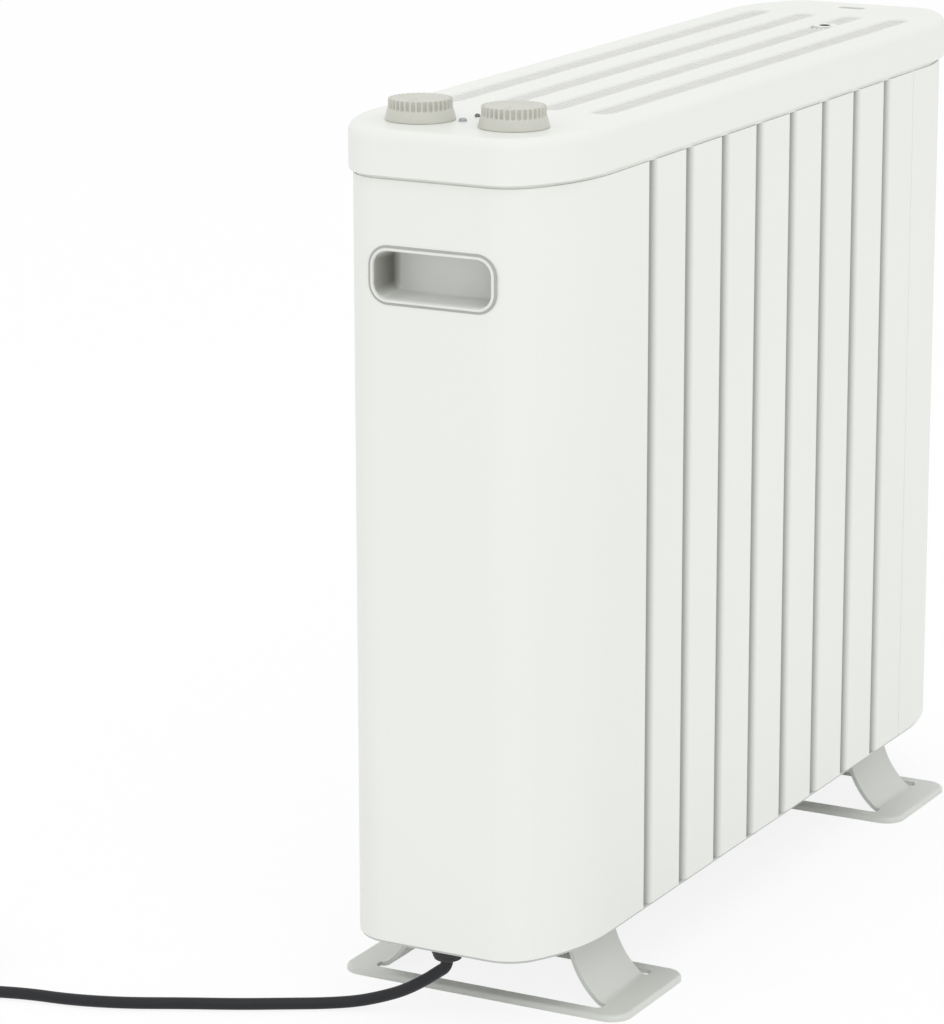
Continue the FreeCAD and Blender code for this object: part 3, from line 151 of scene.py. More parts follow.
def make_cord():
    """The cord's line, with its radius at each point and a round section of one unit."""
    curve = bpy.data.curves.new("mains_lead", "CURVE")
    curve.dimensions = "3D"
    curve.bevel_depth = 1
    curve.bevel_resolution = CORD_ROUNDNESS
    curve.resolution_u = CORD_STEPS
    curve.use_fill_caps = True
    points = cord_control_points()
    spline = curve.splines.new("NURBS")
    spline.points.add(len(points) - 1)
    for point, place in zip(spline.points, points):
        point.co = (*place, 1)
        point.radius = CORD_DIAMETER / 2
    spline.order_u = CORD_ORDER
    spline.use_endpoint_u = True
    lead = bpy.data.objects.new("mains_lead", curve)
    scene.collection.objects.link(lead)
    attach(lead, "heater")
    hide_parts("mains_cord", "cord_coil")
    return lead


mains_lead = make_cord()

# Finishes: arithmetic on a material's sockets, and one method for every other node
EVENLY = (1, 1, 1)
# Places of a colour mix's sockets in its node
MIX_SHARE = 0
MIX_FIRST = 6
MIX_SECOND = 7
MIX_RESULT = 2


class Value:
    """A socket of a finish. Sums and products with it add Math nodes."""

    def __init__(self, finish, socket):
        self.finish = finish
        self.socket = socket

    def maths(self, operation, first, second):
        return self.finish.node("ShaderNodeMath", {"operation": operation}, {0: first, 1: second})

    def __add__(self, other):
        return self.maths("ADD", self, other)

    def __radd__(self, other):
        return self.maths("ADD", other, self)

    def __sub__(self, other):
        return self.maths("SUBTRACT", self, other)

    def __rsub__(self, other):
        return self.maths("SUBTRACT", other, self)

    def __mul__(self, other):
        return self.maths("MULTIPLY", self, other)

    def __rmul__(self, other):
        return self.maths("MULTIPLY", other, self)

    def __pow__(self, other):
        return self.maths("POWER", self, other)


class Finish:
    """A material, its principled surface and the nodes that feed it."""

    def __init__(self, name):
        self.material = bpy.data.materials.new(name)
        self.material.use_nodes = True
        self.tree = self.material.node_tree
        self.surface = self.tree.nodes["Principled BSDF"]
        self.place = self.node("ShaderNodeTexCoord", output="Object")

    def node(self, kind, settings=None, sockets=None, output=0):
        """Add a node: its settings first, then the values or links of its sockets."""
        added = self.tree.nodes.new(kind)
        for name, setting in (settings or {}).items():
            setattr(added, name, setting)
        for name, value in (sockets or {}).items():
            self.feed(added.inputs[name], value)
        return Value(self, added.outputs[output])

    def feed(self, socket, value):
        if isinstance(value, Value):
            self.tree.links.new(value.socket, socket)
        else:
            socket.default_value = value

    def set(self, **sockets):
        """Set or link sockets of the surface, with spaces of their names written as underscores."""
        for name, value in sockets.items():
            self.feed(self.surface.inputs[name.replace("_", " ")], value)

    def noise(self, scale, detail, stretch=EVENLY):
        """Noise from 0 to 1, with so many features to the metre, along stretched axes."""
        place = self.place
        if stretch != EVENLY:
            place = self.node("ShaderNodeMapping", {}, {"Vector": place, "Scale": stretch})
        return self.node("ShaderNodeTexNoise", {}, {"Vector": place, "Scale": scale, "Detail": detail})

    def axis(self, name):
        """The place along X, Y or Z, in metres."""
        return self.node("ShaderNodeSeparateXYZ", {}, {0: self.place}, output=name)

    def size(self, value):
        """A value without its sign."""
        return self.node("ShaderNodeMath", {"operation": "ABSOLUTE"}, {0: value})

    def rise(self, value, start, stop):
        """0 up to start, 1 from stop on, and even between them."""
        return self.node("ShaderNodeMapRange", {}, {"Value": value, "From Min": start, "From Max": stop})

    def mix(self, share, first, second):
        """The first colour, with a share from 0 to 1 of the second."""
        sockets = {MIX_SHARE: share, MIX_FIRST: colour(first), MIX_SECOND: colour(second)}
        return self.node("ShaderNodeMix", {"data_type": "RGBA"}, sockets, output=MIX_RESULT)

    def bump(self, height, depth):
        """Tilt the surface by a height from 0 to 1, this many metres deep."""
        sockets = {"Height": height, "Distance": depth, "Strength": 1.0}
        self.set(Normal=self.node("ShaderNodeBump", {}, sockets))


def colour(value):
    """A colour socket's value from a socket or from red, green and blue as they are seen, 0 to 255."""
    if isinstance(value, Value):
        return value
    return tuple(linear(channel / 255) for channel in value) + (1,)


def linear(channel):
    """A channel's amount of light, from its value as it is seen, both 0 to 1."""
    if channel <= 0.04045:
        return channel / 12.92
    return ((channel + 0.055) / 1.055) ** 2.4


def shade(tone, factor):
    """A tone made darker by a factor under 1, or lighter by one over it."""
    return tuple(channel * factor for channel in tone)


# Paint: noise in features to the metre, the second tone as a share of the first, how far the noise spreads
# the roughness, and the depth of its relief in metres
TONE_DRIFT = 5
ORANGE_PEEL = 420
PAINT_SPECK = 1900
SPECK_SHARE = 0.2
PAINT_SHADE = 0.982
PAINT_SPREAD = 0.05
PEEL_DEPTH = 0.00003
FIN_PEEL_DEPTH = 0.000024
# Painted shade in the joints between the fins: its tone, the depth at which it is full, how it builds up to
# there, and how it starts and stops along the casing
JOINT_SHADE_TONE = (172, 175, 171)
JOINT_DEPTH = 0.0024
JOINT_RISE = 0.85
JOINT_FADE = 0.0005
JOINT_MARGIN = 0.007
JOINT_SPREAD = 0.2


def powder_coat(name, tone, roughness):
    """Sprayed and baked paint: even, with a faint orange peel and a slight drift of tone and gloss."""
    finish = Finish(name)
    drift = finish.noise(TONE_DRIFT, detail=3)
    peel = finish.noise(ORANGE_PEEL, detail=2)
    speck = finish.noise(PAINT_SPECK, detail=1)
    finish.set(Base_Color=finish.mix(drift, tone, shade(tone, PAINT_SHADE)))
    finish.set(Roughness=roughness + (peel - 0.5) * PAINT_SPREAD + (drift - 0.5) * PAINT_SPREAD)
    finish.bump(peel * (1 - SPECK_SHARE) + speck * SPECK_SHARE, PEEL_DEPTH)
    return finish.material


def fin_coat_joint_shade(name, tone, joint_shade_tone, roughness, side, start, stop):
    """Powder coat with painted shade in the joints between the fins, and rougher there: from start to stop
    along X, and darker the deeper a place lies behind the casing's side."""
    finish = Finish(name)
    drift = finish.noise(TONE_DRIFT, detail=3)
    peel = finish.noise(ORANGE_PEEL, detail=2)
    along = finish.axis("X")
    # Painted shade: the joint tone grows with depth behind the casing's side, where the shade falls
    deep = finish.rise(side - finish.size(finish.axis("Y")), 0, JOINT_DEPTH) ** JOINT_RISE
    after = finish.rise(along, start, start + JOINT_FADE)
    before = 1 - finish.rise(along, stop - JOINT_FADE, stop)
    share = deep * after * before
    paint = finish.mix(drift, tone, shade(tone, PAINT_SHADE))
    finish.set(Base_Color=finish.mix(share, paint, joint_shade_tone))
    finish.set(Roughness=roughness + (peel - 0.5) * PAINT_SPREAD + share * JOINT_SPREAD)
    finish.bump(peel, FIN_PEEL_DEPTH)
    return finish.material


# Moulded plastic
MOTTLE = 60
MOULD_GRAIN = 2600
PLUG_GRAIN = 1800
MOTTLE_SHADE = 0.95
GRAIN_SPREAD = 0.12
GRAIN_DEPTH = 0.00002
# Painted shade at the ends of the cups: where along Y it starts and is full, and how much of it lies at the
# mouth
CUP_SHADE = 0.97
CUP_END_START = 0.0295
CUP_END_STOP = 0.0335
CUP_END_LEAST = 0.65
CUP_DEEP = 0.018


def moulded_plastic(name, tone, roughness, grain=MOULD_GRAIN):
    """A moulded skin: fine spark-eroded grain and a slight mottle."""
    finish = Finish(name)
    mottle = finish.noise(MOTTLE, detail=4)
    eroded = finish.noise(grain, detail=3)
    finish.set(Base_Color=finish.mix(mottle, tone, shade(tone, MOTTLE_SHADE)))
    finish.set(Roughness=roughness + (eroded - 0.5) * GRAIN_SPREAD)
    finish.bump(eroded, GRAIN_DEPTH)
    return finish.material


def shaded_cup_plastic(name, tone, end_shade_tone, roughness, face):
    """Moulded plastic of a cup along Y, with painted shade at its two ends that darkens away from the panel.
    """
    finish = Finish(name)
    mottle = finish.noise(MOTTLE, detail=4)
    eroded = finish.noise(MOULD_GRAIN, detail=3)
    end = finish.rise(finish.size(finish.axis("Y")), CUP_END_START, CUP_END_STOP)
    deep = finish.rise(face - finish.size(finish.axis("X")), 0, CUP_DEEP)
    moulded = finish.mix(mottle, tone, shade(tone, CUP_SHADE))
    # Painted shade: the ends of the cup darken, more so deeper in it
    share = end * (CUP_END_LEAST + deep * (1 - CUP_END_LEAST))
    finish.set(Base_Color=finish.mix(share, moulded, end_shade_tone))
    finish.set(Roughness=roughness + (eroded - 0.5) * GRAIN_SPREAD)
    finish.bump(eroded, GRAIN_DEPTH)
    return finish.material


# Cord sheath
DRAWN_LINES = 260
DRAWN_STRETCH = (1, 0.25, 1)
SHEATH_DUST = 38
DUST_SHARE = 0.6
DUST_SHADE = 1.3
SHEATH_ROUGHNESS = 0.42
SHEATH_SPREAD = 0.16
SHEATH_SHINE = 0.35
DRAWN_DEPTH = 0.00004


def cord_sheath(name, tone):
    """Extruded flexible sheath: matte, with drawn lines and dusty patches."""
    finish = Finish(name)
    drawn = finish.noise(DRAWN_LINES, detail=3, stretch=DRAWN_STRETCH)
    dust = finish.noise(SHEATH_DUST, detail=4)
    finish.set(Base_Color=finish.mix(dust * DUST_SHARE, tone, shade(tone, DUST_SHADE)))
    finish.set(Roughness=SHEATH_ROUGHNESS + drawn * SHEATH_SPREAD, Specular_IOR_Level=SHEATH_SHINE)
    finish.bump(drawn, DRAWN_DEPTH)
    return finish.material


# Bare and plated metal
METAL_LINES = 900
METAL_CLOUD = 70
METAL_SHADE = 0.88
LINE_SPREAD = 0.16
CLOUD_SPREAD = 0.08
LINE_DEPTH = 0.00002
DRAWN_ALONG_X = (0.04, 1, 1)
EXTRUDED_ALONG_X = (0.02, 1, 1)


def plated_metal(name, tone, roughness, stretch=EVENLY):
    """Plated, drawn or extruded metal, with drawing lines along the axis that has the smallest stretch."""
    finish = Finish(name)
    lines = finish.noise(METAL_LINES, detail=3, stretch=stretch)
    cloud = finish.noise(METAL_CLOUD, detail=3)
    finish.set(Base_Color=finish.mix(cloud, tone, shade(tone, METAL_SHADE)))
    finish.set(Roughness=roughness + (lines - 0.5) * LINE_SPREAD + cloud * CLOUD_SPREAD)
    finish.set(Metallic=1.0)
    finish.bump(lines, LINE_DEPTH)
    return finish.material


# Glazed ceramic and the lamp's lens
GLAZE_CLOUD = 120
GLAZE_SHADE = 0.92
GLAZE_ROUGHNESS = 0.25
GLAZE_SPREAD = 0.15
LENS_FROST = 1500
LENS_SHADE = 0.8
LENS_ROUGHNESS = 0.12
LENS_SPREAD = 0.1
LENS_COAT = 0.5


def ceramic_glaze(name, tone):
    """A cloudy glaze, smooth to the touch."""
    finish = Finish(name)
    cloud = finish.noise(GLAZE_CLOUD, detail=4)
    finish.set(Base_Color=finish.mix(cloud, tone, shade(tone, GLAZE_SHADE)))
    finish.set(Roughness=GLAZE_ROUGHNESS + cloud * GLAZE_SPREAD)
    return finish.material


def lamp_lens(name, tone):
    """A small frosted lens under a clear coat."""
    finish = Finish(name)
    frost = finish.noise(LENS_FROST, detail=2)
    finish.set(Base_Color=finish.mix(frost, tone, shade(tone, LENS_SHADE)))
    finish.set(Roughness=LENS_ROUGHNESS + frost * LENS_SPREAD)
    finish.set(Coat_Weight=LENS_COAT)
    return finish.material


# Tones, as red, green and blue from 0 to 255
CASING_WHITE = (236, 238, 233)
FOOT_GREY = (216, 219, 213)
TRAY_GREY = (196, 198, 195)
HAND_GREY = (222, 224, 220)
# Tone of the painted shade at the ends of the hand-holds' cups
CUP_END_SHADE_GREY = (117, 116, 108)
BEZEL_WHITE = (234, 235, 231)
# Grey of the thin ring round each bezel, painted shade of the gap between bezel and panel
SHADOW_GAP_GREY = (178, 180, 176)
KNOB_GREY = (208, 208, 199)
LOUVRE_WHITE = (238, 239, 235)
CHARCOAL = (28, 29, 32)
BLACK = (34, 34, 36)
PLUG_BLACK = (44, 44, 47)
RIVET_GREY = (120, 122, 120)
CONTROL_CREAM = (212, 208, 198)
WIRE_RED = (170, 70, 58)
ZINC = (205, 206, 208)
NICKEL = (222, 218, 206)
STEEL = (206, 206, 208)
ALUMINIUM = (208, 209, 212)
CERAMIC_CREAM = (232, 228, 216)
LENS_GREY = (186, 188, 196)

casing_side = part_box("fin_1")[1].y
front_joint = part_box("front_end_panel")[1].x - JOINT_MARGIN
rear_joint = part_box("fin_8")[0].x + 2 * JOINT_MARGIN
casing_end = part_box("rear_end_panel")[1].x
# The casing's paint carries painted shade in the joints between the fins
casing_paint_joint_shade = fin_coat_joint_shade("casing_paint_joint_shade", CASING_WHITE, JOINT_SHADE_TONE, 0.42, casing_side, front_joint, rear_joint)
cover_paint = powder_coat("cover_paint", CASING_WHITE, 0.40)
foot_paint = powder_coat("foot_paint", FOOT_GREY, 0.44)
tray_paint = powder_coat("tray_paint", TRAY_GREY, 0.5)
hand_plastic_end_shade = shaded_cup_plastic("hand_hold_plastic_end_shade", HAND_GREY, CUP_END_SHADE_GREY, 0.48, casing_end)
bezel_plastic = moulded_plastic("bezel_plastic", BEZEL_WHITE, 0.42)
shadow_gap_plastic = moulded_plastic("shadow_gap_plastic", SHADOW_GAP_GREY, 0.6)
knob_plastic = moulded_plastic("knob_plastic", KNOB_GREY, 0.46)
louvre_plastic = moulded_plastic("louvre_plastic", LOUVRE_WHITE, 0.5)
control_plastic = moulded_plastic("control_plastic", CONTROL_CREAM, 0.5)
black_plastic = moulded_plastic("black_plastic", BLACK, 0.5)
plug_plastic = moulded_plastic("plug_plastic", PLUG_BLACK, 0.48, grain=PLUG_GRAIN)
rivet_plastic = moulded_plastic("rivet_plastic", RIVET_GREY, 0.5)
cord_pvc = cord_sheath("cord_pvc", CHARCOAL)
wire_silicone = cord_sheath("wire_silicone", WIRE_RED)
zinc_plate = plated_metal("zinc_plate", ZINC, 0.34)
nickel_plate = plated_metal("nickel_plate", NICKEL, 0.24)
drawn_steel = plated_metal("drawn_steel", STEEL, 0.3, DRAWN_ALONG_X)
extruded_aluminium = plated_metal("extruded_aluminium", ALUMINIUM, 0.42, EXTRUDED_ALONG_X)
ceramic = ceramic_glaze("ceramic", CERAMIC_CREAM)
pilot_lens = lamp_lens("pilot_lens", LENS_GREY)

NODE_FINISH = {
    "top_cover": cover_paint, "outlet_louvre": louvre_plastic, "base_tray": tray_paint,
    "front_end_panel": casing_paint_joint_shade, "rear_end_panel": casing_paint_joint_shade,
    "hand_hold_front": hand_plastic_end_shade, "hand_hold_rear": hand_plastic_end_shade,
    "thermostat_knob": knob_plastic, "selector_knob": knob_plastic,
    "thermostat_spindle": drawn_steel, "selector_spindle": drawn_steel,
    "thermostat_body": control_plastic, "selector_switch_body": control_plastic,
    "control_nuts": zinc_plate, "pilot_lamp_lens": pilot_lens, "pilot_lamp_body": black_plastic,
    "heating_element_1": extruded_aluminium, "heating_element_2": extruded_aluminium,
    "element_bracket_front": zinc_plate, "element_bracket_rear": zinc_plate,
    "element_insulators": ceramic, "thermal_cutout": black_plastic, "terminal_block": control_plastic,
    "wiring": wire_silicone, "tie_rods": drawn_steel, "tie_rod_nuts": zinc_plate,
    "cover_strap": zinc_plate, "cover_screws": zinc_plate, "foot_screws": zinc_plate,
    "foot_front": foot_paint, "foot_rear": foot_paint,
    "cord_gland": black_plastic, "gland_nut": black_plastic,
    "mains_cord": cord_pvc, "cord_coil": cord_pvc, "cord_tie": plug_plastic,
    "plug_body": plug_plastic, "plug_pins": nickel_plate,
}
for node_name, item in nodes.items():
    item.data.materials.clear()
    item.data.materials.append(NODE_FINISH.get(node_name, casing_paint_joint_shade))
mains_lead.data.materials.append(cord_pvc)


# Detail pieces, built in millimetres
CORNER_STEPS = 8
TURN_POINTS = 48
# Angles in degrees from which an edge stays sharp
SHARP = 32
KNOB_SHARP = 40
PLUG_SHARP = 45
HAND_SHARP = 50


def box_of(node):
    """A node's lowest and highest corners, in millimetres."""
    low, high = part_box(node)
    return low / MILLIMETRE, high / MILLIMETRE


def skin(rings, joined=False):
    """The points and faces of a surface through rings: joined end to start, or with a cap at each end."""
    count = len(rings[0])
    points = [point for ring in rings for point in ring]
    faces = []
    for start in range(0, len(points) if joined else len(points) - count, count):
        after = (start + count) % len(points)
        for number in range(count):
            beside = (number + 1) % count
            faces.append((start + number, start + beside, after + beside, after + number))
    if not joined:
        faces.append(tuple(reversed(range(count))))
        faces.append(tuple(range(len(points) - count, len(points))))
    return points, faces


def make_mesh(name, shapes):
    """One mesh of closed shapes, each a pair of points and faces."""
    points = []
    faces = []
    for shape_points, shape_faces in shapes:
        start = len(points)
        points += [point * MILLIMETRE for point in shape_points]
        faces += [[start + number for number in face] for face in shape_faces]
    data = bpy.data.meshes.new(name)
    data.from_pydata(points, [], faces)
    mesh = bmesh.new()
    mesh.from_mesh(data)
    bmesh.ops.recalc_face_normals(mesh, faces=mesh.faces)
    mesh.to_mesh(data)
    mesh.free()
    return data


def carve(piece, shapes):
    """Cut shapes out of a piece's mesh."""
    cutter = bpy.data.objects.new("cutter", make_mesh("cutter", shapes))
    scene.collection.objects.link(cutter)
    cut = piece.modifiers.new("recess", "BOOLEAN")
    cut.operation = "DIFFERENCE"
    cut.solver = "EXACT"
    cut.object = cutter
    carved = bpy.data.meshes.new_from_object(piece.evaluated_get(bpy.context.evaluated_depsgraph_get()))
    piece.modifiers.clear()
    piece.data = carved
    bpy.data.objects.remove(cutter)


def make_piece(name, shapes, finish, body, cuts=(), sharp=SHARP):
    """A piece that rides on a body and takes the finish that it is given."""
    piece = bpy.data.objects.new(name, make_mesh(name, shapes))
    scene.collection.objects.link(piece)
    if cuts:
        carve(piece, cuts)
    for face in piece.data.polygons:
        face.use_smooth = True
    piece.data.set_sharp_from_angle(angle=math.radians(sharp))
    piece.data.materials.clear()
    piece.data.materials.append(finish)
    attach(piece, body)
    return piece


def turned(profile, place=Vector(), turn=Matrix.Identity(3), joined=False):
    """A turned shape: a profile of radii and heights round Z, then turned and set at a place."""
    rings = []
    for radius, height in profile:
        ring = []
        for number in range(TURN_POINTS):
            angle = 2 * math.pi * number / TURN_POINTS
            ring.append(place + turn @ Vector((radius * math.cos(angle), radius * math.sin(angle), height)))
        rings.append(ring)
    return skin(rings, joined)


# Knobs: a dished top, fine flutes that run out over its rim, a flared skirt and a hollow with a hub
FLUTES = 34
FLUTE_POINTS = 12
FLUTE_DEPTH = 1.6
FLUTE_STEEPNESS = 0.9
KNOB_DROP = 0.35
# Radius, height and share of the flutes' depth, from the middle of the top round to the bore in the hub
KNOB_PROFILE = [
    (2.0, 10.3, 0), (9.0, 10.32, 0), (12.2, 10.4, 0), (13.2, 10.6, 0), (13.9, 10.76, 0), (14.7, 10.8, 0),
    (16.4, 10.8, 0.8), (16.7, 10.7, 0.94), (16.85, 10.5, 1), (16.9, 10.2, 1), (16.9, 6.4, 1),
    (16.93, 6.1, 0.94), (17.0, 5.85, 0.7), (17.1, 5.65, 0.3), (17.25, 5.4, 0.04), (17.5, 4.6, 0),
    (18.0, 2.8, 0), (18.45, 1.1, 0), (18.68, 0.15, 0), (18.7, -0.2, 0), (18.6, -KNOB_DROP, 0),
    (15.0, -KNOB_DROP, 0), (14.7, 0, 0), (14.7, 8.2, 0), (14.5, 8.4, 0), (6.2, 8.4, 0), (6.0, 8.2, 0),
    (6.0, 4.2, 0), (5.8, 4.0, 0), (3.3, 4.0, 0), (3.05, 4.2, 0), (3.05, 8.38, 0),
]
POINTER_SECTION = [(-0.9, 10.25), (-0.55, 10.72), (0.55, 10.72), (0.9, 10.25)]
POINTER_REACH = (-13.2, -4.0)


def flute_share(number):
    """How deep a point lies in its flute: 0 along the ridge and 1 along the flute's floor."""
    wave = math.cos(2 * math.pi * (number % FLUTE_POINTS) / FLUTE_POINTS)
    return min(max(0.5 - FLUTE_STEEPNESS * wave, 0), 1)


def make_knob(node, body):
    low, high = box_of(node)
    middle = Vector(((low.x + high.x) / 2, (low.y + high.y) / 2, low.z))
    count = FLUTES * FLUTE_POINTS
    rings = []
    for radius, height, share in KNOB_PROFILE:
        ring = []
        for number in range(count):
            angle = 2 * math.pi * number / count
            reach = radius - share * FLUTE_DEPTH * flute_share(number)
            ring.append(middle + Vector((reach * math.cos(angle), reach * math.sin(angle), height)))
        rings.append(ring)
    pointer = skin([[middle + Vector((x, y, z)) for y, z in POINTER_SECTION] for x in POINTER_REACH])
    piece = make_piece(f"{node}_fluted", [skin(rings), pointer], knob_plastic, body,
                       sharp=KNOB_SHARP)
    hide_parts(node)


make_knob("thermostat_knob", "thermostat_dial")
make_knob("selector_knob", "selector_dial")

# A small dark rivet on the cover, in line with the lamp
RIVET_FROM_LAMP = 16
RIVET_PROFILE = [(1.5, 0.0), (1.5, 0.5), (1.4, 1.0), (1.15, 1.4), (0.75, 1.65), (0.3, 1.75)]


def make_rivet():
    low, high = box_of("pilot_lamp_lens")
    level = box_of("top_cover")[1].z
    place = Vector(((low.x + high.x) / 2 + RIVET_FROM_LAMP, (low.y + high.y) / 2, level))
    make_piece("cover_rivet", [turned(RIVET_PROFILE, place)], rivet_plastic, "heater")


make_rivet()

# Hand-holds: a drafted cup, a half-round bezel round its mouth, and a thin grey ring between bezel and panel
# as painted shade of the gap there
HAND_HALF_WIDTH = 34.5
HAND_HALF_HEIGHT = 12.5
HAND_CORNER = 8
BEZEL_PROUD = 1.4
# Growth of the mouth's outline and depth behind the panel's face: the cup from its back to its floor, and the
# sections of the bezel and of the grey ring that paints the gap's shade
CUP_PROFILE = [
    (-3.0, 21.6), (0.2, 20.6), (1.6, 18.0), (1.6, 0.4), (0.5, 0.3), (0.2, 0.45), (0.0, 0.9), (-0.1, 1.6),
    (-0.7, 17.2), (-0.9, 18.6), (-1.5, 19.5), (-2.4, 19.9), (-3.6, 20.0),
]
BEZEL_SECTION = [
    (1.9, 0.3), (1.9, -0.55), (1.75, -1.0), (1.45, -1.3), (1.1, -1.4), (0.75, -1.3), (0.45, -1.0),
    (0.3, -0.55), (0.3, 0.3),
]
SHADOW_GAP_SECTION = [(1.8, 0.05), (3.3, 0.05), (3.3, -0.15), (3.1, -0.35), (1.8, -0.35)]


def rounded_loop(middle, inward, grow, depth):
    """A rounded rectangle across X, grown from the mouth's outline."""
    radius = HAND_CORNER + grow
    points = []
    for quarter, (side, rise) in enumerate(((1, 1), (-1, 1), (-1, -1), (1, -1))):
        for step in range(CORNER_STEPS + 1):
            angle = math.radians(90 * (quarter + step / CORNER_STEPS))
            across = side * (HAND_HALF_WIDTH - HAND_CORNER) + radius * math.cos(angle)
            up = rise * (HAND_HALF_HEIGHT - HAND_CORNER) + radius * math.sin(angle)
            points.append(middle + Vector((inward * depth, across, up)))
    return points


def make_hand_hold(node, inward):
    low, high = box_of(node)
    face = low.x + BEZEL_PROUD if inward > 0 else high.x - BEZEL_PROUD
    middle = Vector((face, (low.y + high.y) / 2, (low.z + high.z) / 2))
    shells = {}
    for part, section in (("cup", CUP_PROFILE), ("bezel", BEZEL_SECTION), ("shadow_gap", SHADOW_GAP_SECTION)):
        loops = [rounded_loop(middle, inward, grow, depth) for grow, depth in section]
        shells[part] = skin(loops, joined=part != "cup")
    piece = make_piece(f"{node}_cup", [shells["cup"]], hand_plastic_end_shade, "heater",
                       sharp=HAND_SHARP)
    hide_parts(node)
    make_piece(f"{node}_bezel", [shells["bezel"]], bezel_plastic, "heater", sharp=HAND_SHARP)
    # A thin grey ring that paints the shade in the gap between bezel and panel
    make_piece(f"{node}_seal", [shells["shadow_gap"]], shadow_gap_plastic, "heater", sharp=HAND_SHARP)


make_hand_hold("hand_hold_front", 1)
make_hand_hold("hand_hold_rear", -1)

# Outlet grille: a frame under the cover, with slanting slats that rise into each slot
SLOTS = 4
SLOT_PITCH = 30.7
SLOT_HALF = 6.0
SLATS = 4
SLAT_SINK = 0.9
SLAT_LEAN = 2.6
SLAT_THICK = 1.3
# Sideways and down over a slat's rounded upper edge, as shares of half its thickness
SLAT_EDGE = [(1, 1), (0.7, 0.3), (0, 0), (-0.7, 0.3), (-1, 1)]
FRAME_WALL = 2.0
SCREW_CLEAR = 8.0


def bar(start, stop, section):
    """A bar along X with a section of Y and Z."""
    return skin([[Vector((x, y, z)) for y, z in section] for x in (start, stop)])


def rectangle(left, right, low, high):
    return [(left, low), (right, low), (right, high), (left, high)]


def slat_section(middle, low, high):
    """A thin blade that leans to +Y, with a rounded upper edge."""
    half = SLAT_THICK / 2
    top = middle + SLAT_LEAN / 2
    foot = middle - SLAT_LEAN / 2
    section = [(foot - half, low), (foot + half, low)]
    for out, down in SLAT_EDGE:
        section.append((top + out * half, high - down * half))
    return section


def make_grille():
    low, high = box_of("outlet_louvre")
    crest = box_of("top_cover")[1].z - SLAT_SINK
    screw_low = box_of("cover_screws")[0]
    screw_x = screw_low.x + COVER_SCREW_HEAD
    start = low.x + FRAME_WALL
    stop = high.x - FRAME_WALL
    shapes = []
    for slot in range(SLOTS):
        centre = SLOT_PITCH * (slot - (SLOTS - 1) / 2)
        runs = [(start, stop)]
        if abs(centre - screw_low.y - COVER_SCREW_HEAD) < SLOT_HALF:
            runs = [(start, screw_x - SCREW_CLEAR), (screw_x + SCREW_CLEAR, stop)]
        for slat in range(SLATS):
            middle = centre + 2 * SLOT_HALF * ((slat + 0.5) / SLATS - 0.5)
            section = slat_section(middle, low.z, crest)
            shapes += [bar(*run, section) for run in runs]
    left = low.y + FRAME_WALL
    right = high.y - FRAME_WALL
    shapes.append(bar(low.x, high.x, rectangle(low.y, left, low.z, high.z)))
    shapes.append(bar(low.x, high.x, rectangle(right, high.y, low.z, high.z)))
    shapes.append(bar(low.x, start, rectangle(left, right, low.z, high.z)))
    shapes.append(bar(stop, high.x, rectangle(left, right, low.z, high.z)))
    piece = make_piece("outlet_grille", shapes, louvre_plastic, "heater")
    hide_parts("outlet_louvre")


# Cross-head screws: a domed head on its seat, and the shank behind it
UPRIGHT = Matrix.Identity(3)
FROM_BELOW = Matrix.Rotation(math.pi, 3, "X")
SCREW_TIP = 0.3
# Radius and height over the head, as shares of the head's own
SCREW_HEAD_PROFILE = [(1, 0), (1, 0.45), (0.92, 0.72), (0.72, 0.92), (0.4, 1)]
# Half thickness and reach of the star as shares of the head's radius, its depth as one of the head's height,
# and how narrow it is at its foot
STAR_HALF = 0.17
STAR_REACH = 0.6
STAR_DEPTH = 0.6
STAR_FOOT = 0.5


def screw_shape(place, turn, head, height, shank, length):
    profile = [(shank * SCREW_TIP, -length), (shank, -length + shank), (shank, 0)]
    profile += [(head * out, height * up) for out, up in SCREW_HEAD_PROFILE]
    return turned(profile, place, turn)


def driver_star(place, turn, head, height):
    """The recess for a cross-head driver, narrower at its foot and open above the head."""
    rings = []
    for spread, level in ((STAR_FOOT, (1 - STAR_DEPTH) * height), (1, height), (1, 2 * height)):
        thin = STAR_HALF * head * spread
        reach = STAR_REACH * head * spread
        ring = []
        for quarter in range(4):
            quarter_turn = Matrix.Rotation(quarter * math.pi / 2, 3, "Z")
            for x, y in ((thin, -thin), (reach, -thin), (reach, thin)):
                ring.append(place + turn @ quarter_turn @ Vector((x, y, level)))
        rings.append(ring)
    return skin(rings)


def make_screws(node, places, turn, head, height, shank, length):
    shapes = [screw_shape(place, turn, head, height, shank, length) for place in places]
    stars = [driver_star(place, turn, head, height) for place in places]
    piece = make_piece(f"{node}_cross_head", shapes, zinc_plate, "heater", stars)
    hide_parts(node)


COVER_SCREW_HEAD = 3.2
COVER_SCREW_RISE = 2.2
COVER_SCREW_SHANK = 1.8
COVER_SEAT_STEP = 0.3
BUSH_INNER = 3.28
BUSH_OUTER = 3.48
BUSH_RISE = 7.9
FOOT_SCREW_HEAD = 4.5
FOOT_SCREW_DROP = 2.5
FOOT_SCREW_SHANK = 2.0
FOOT_SCREW_SPACING = 32


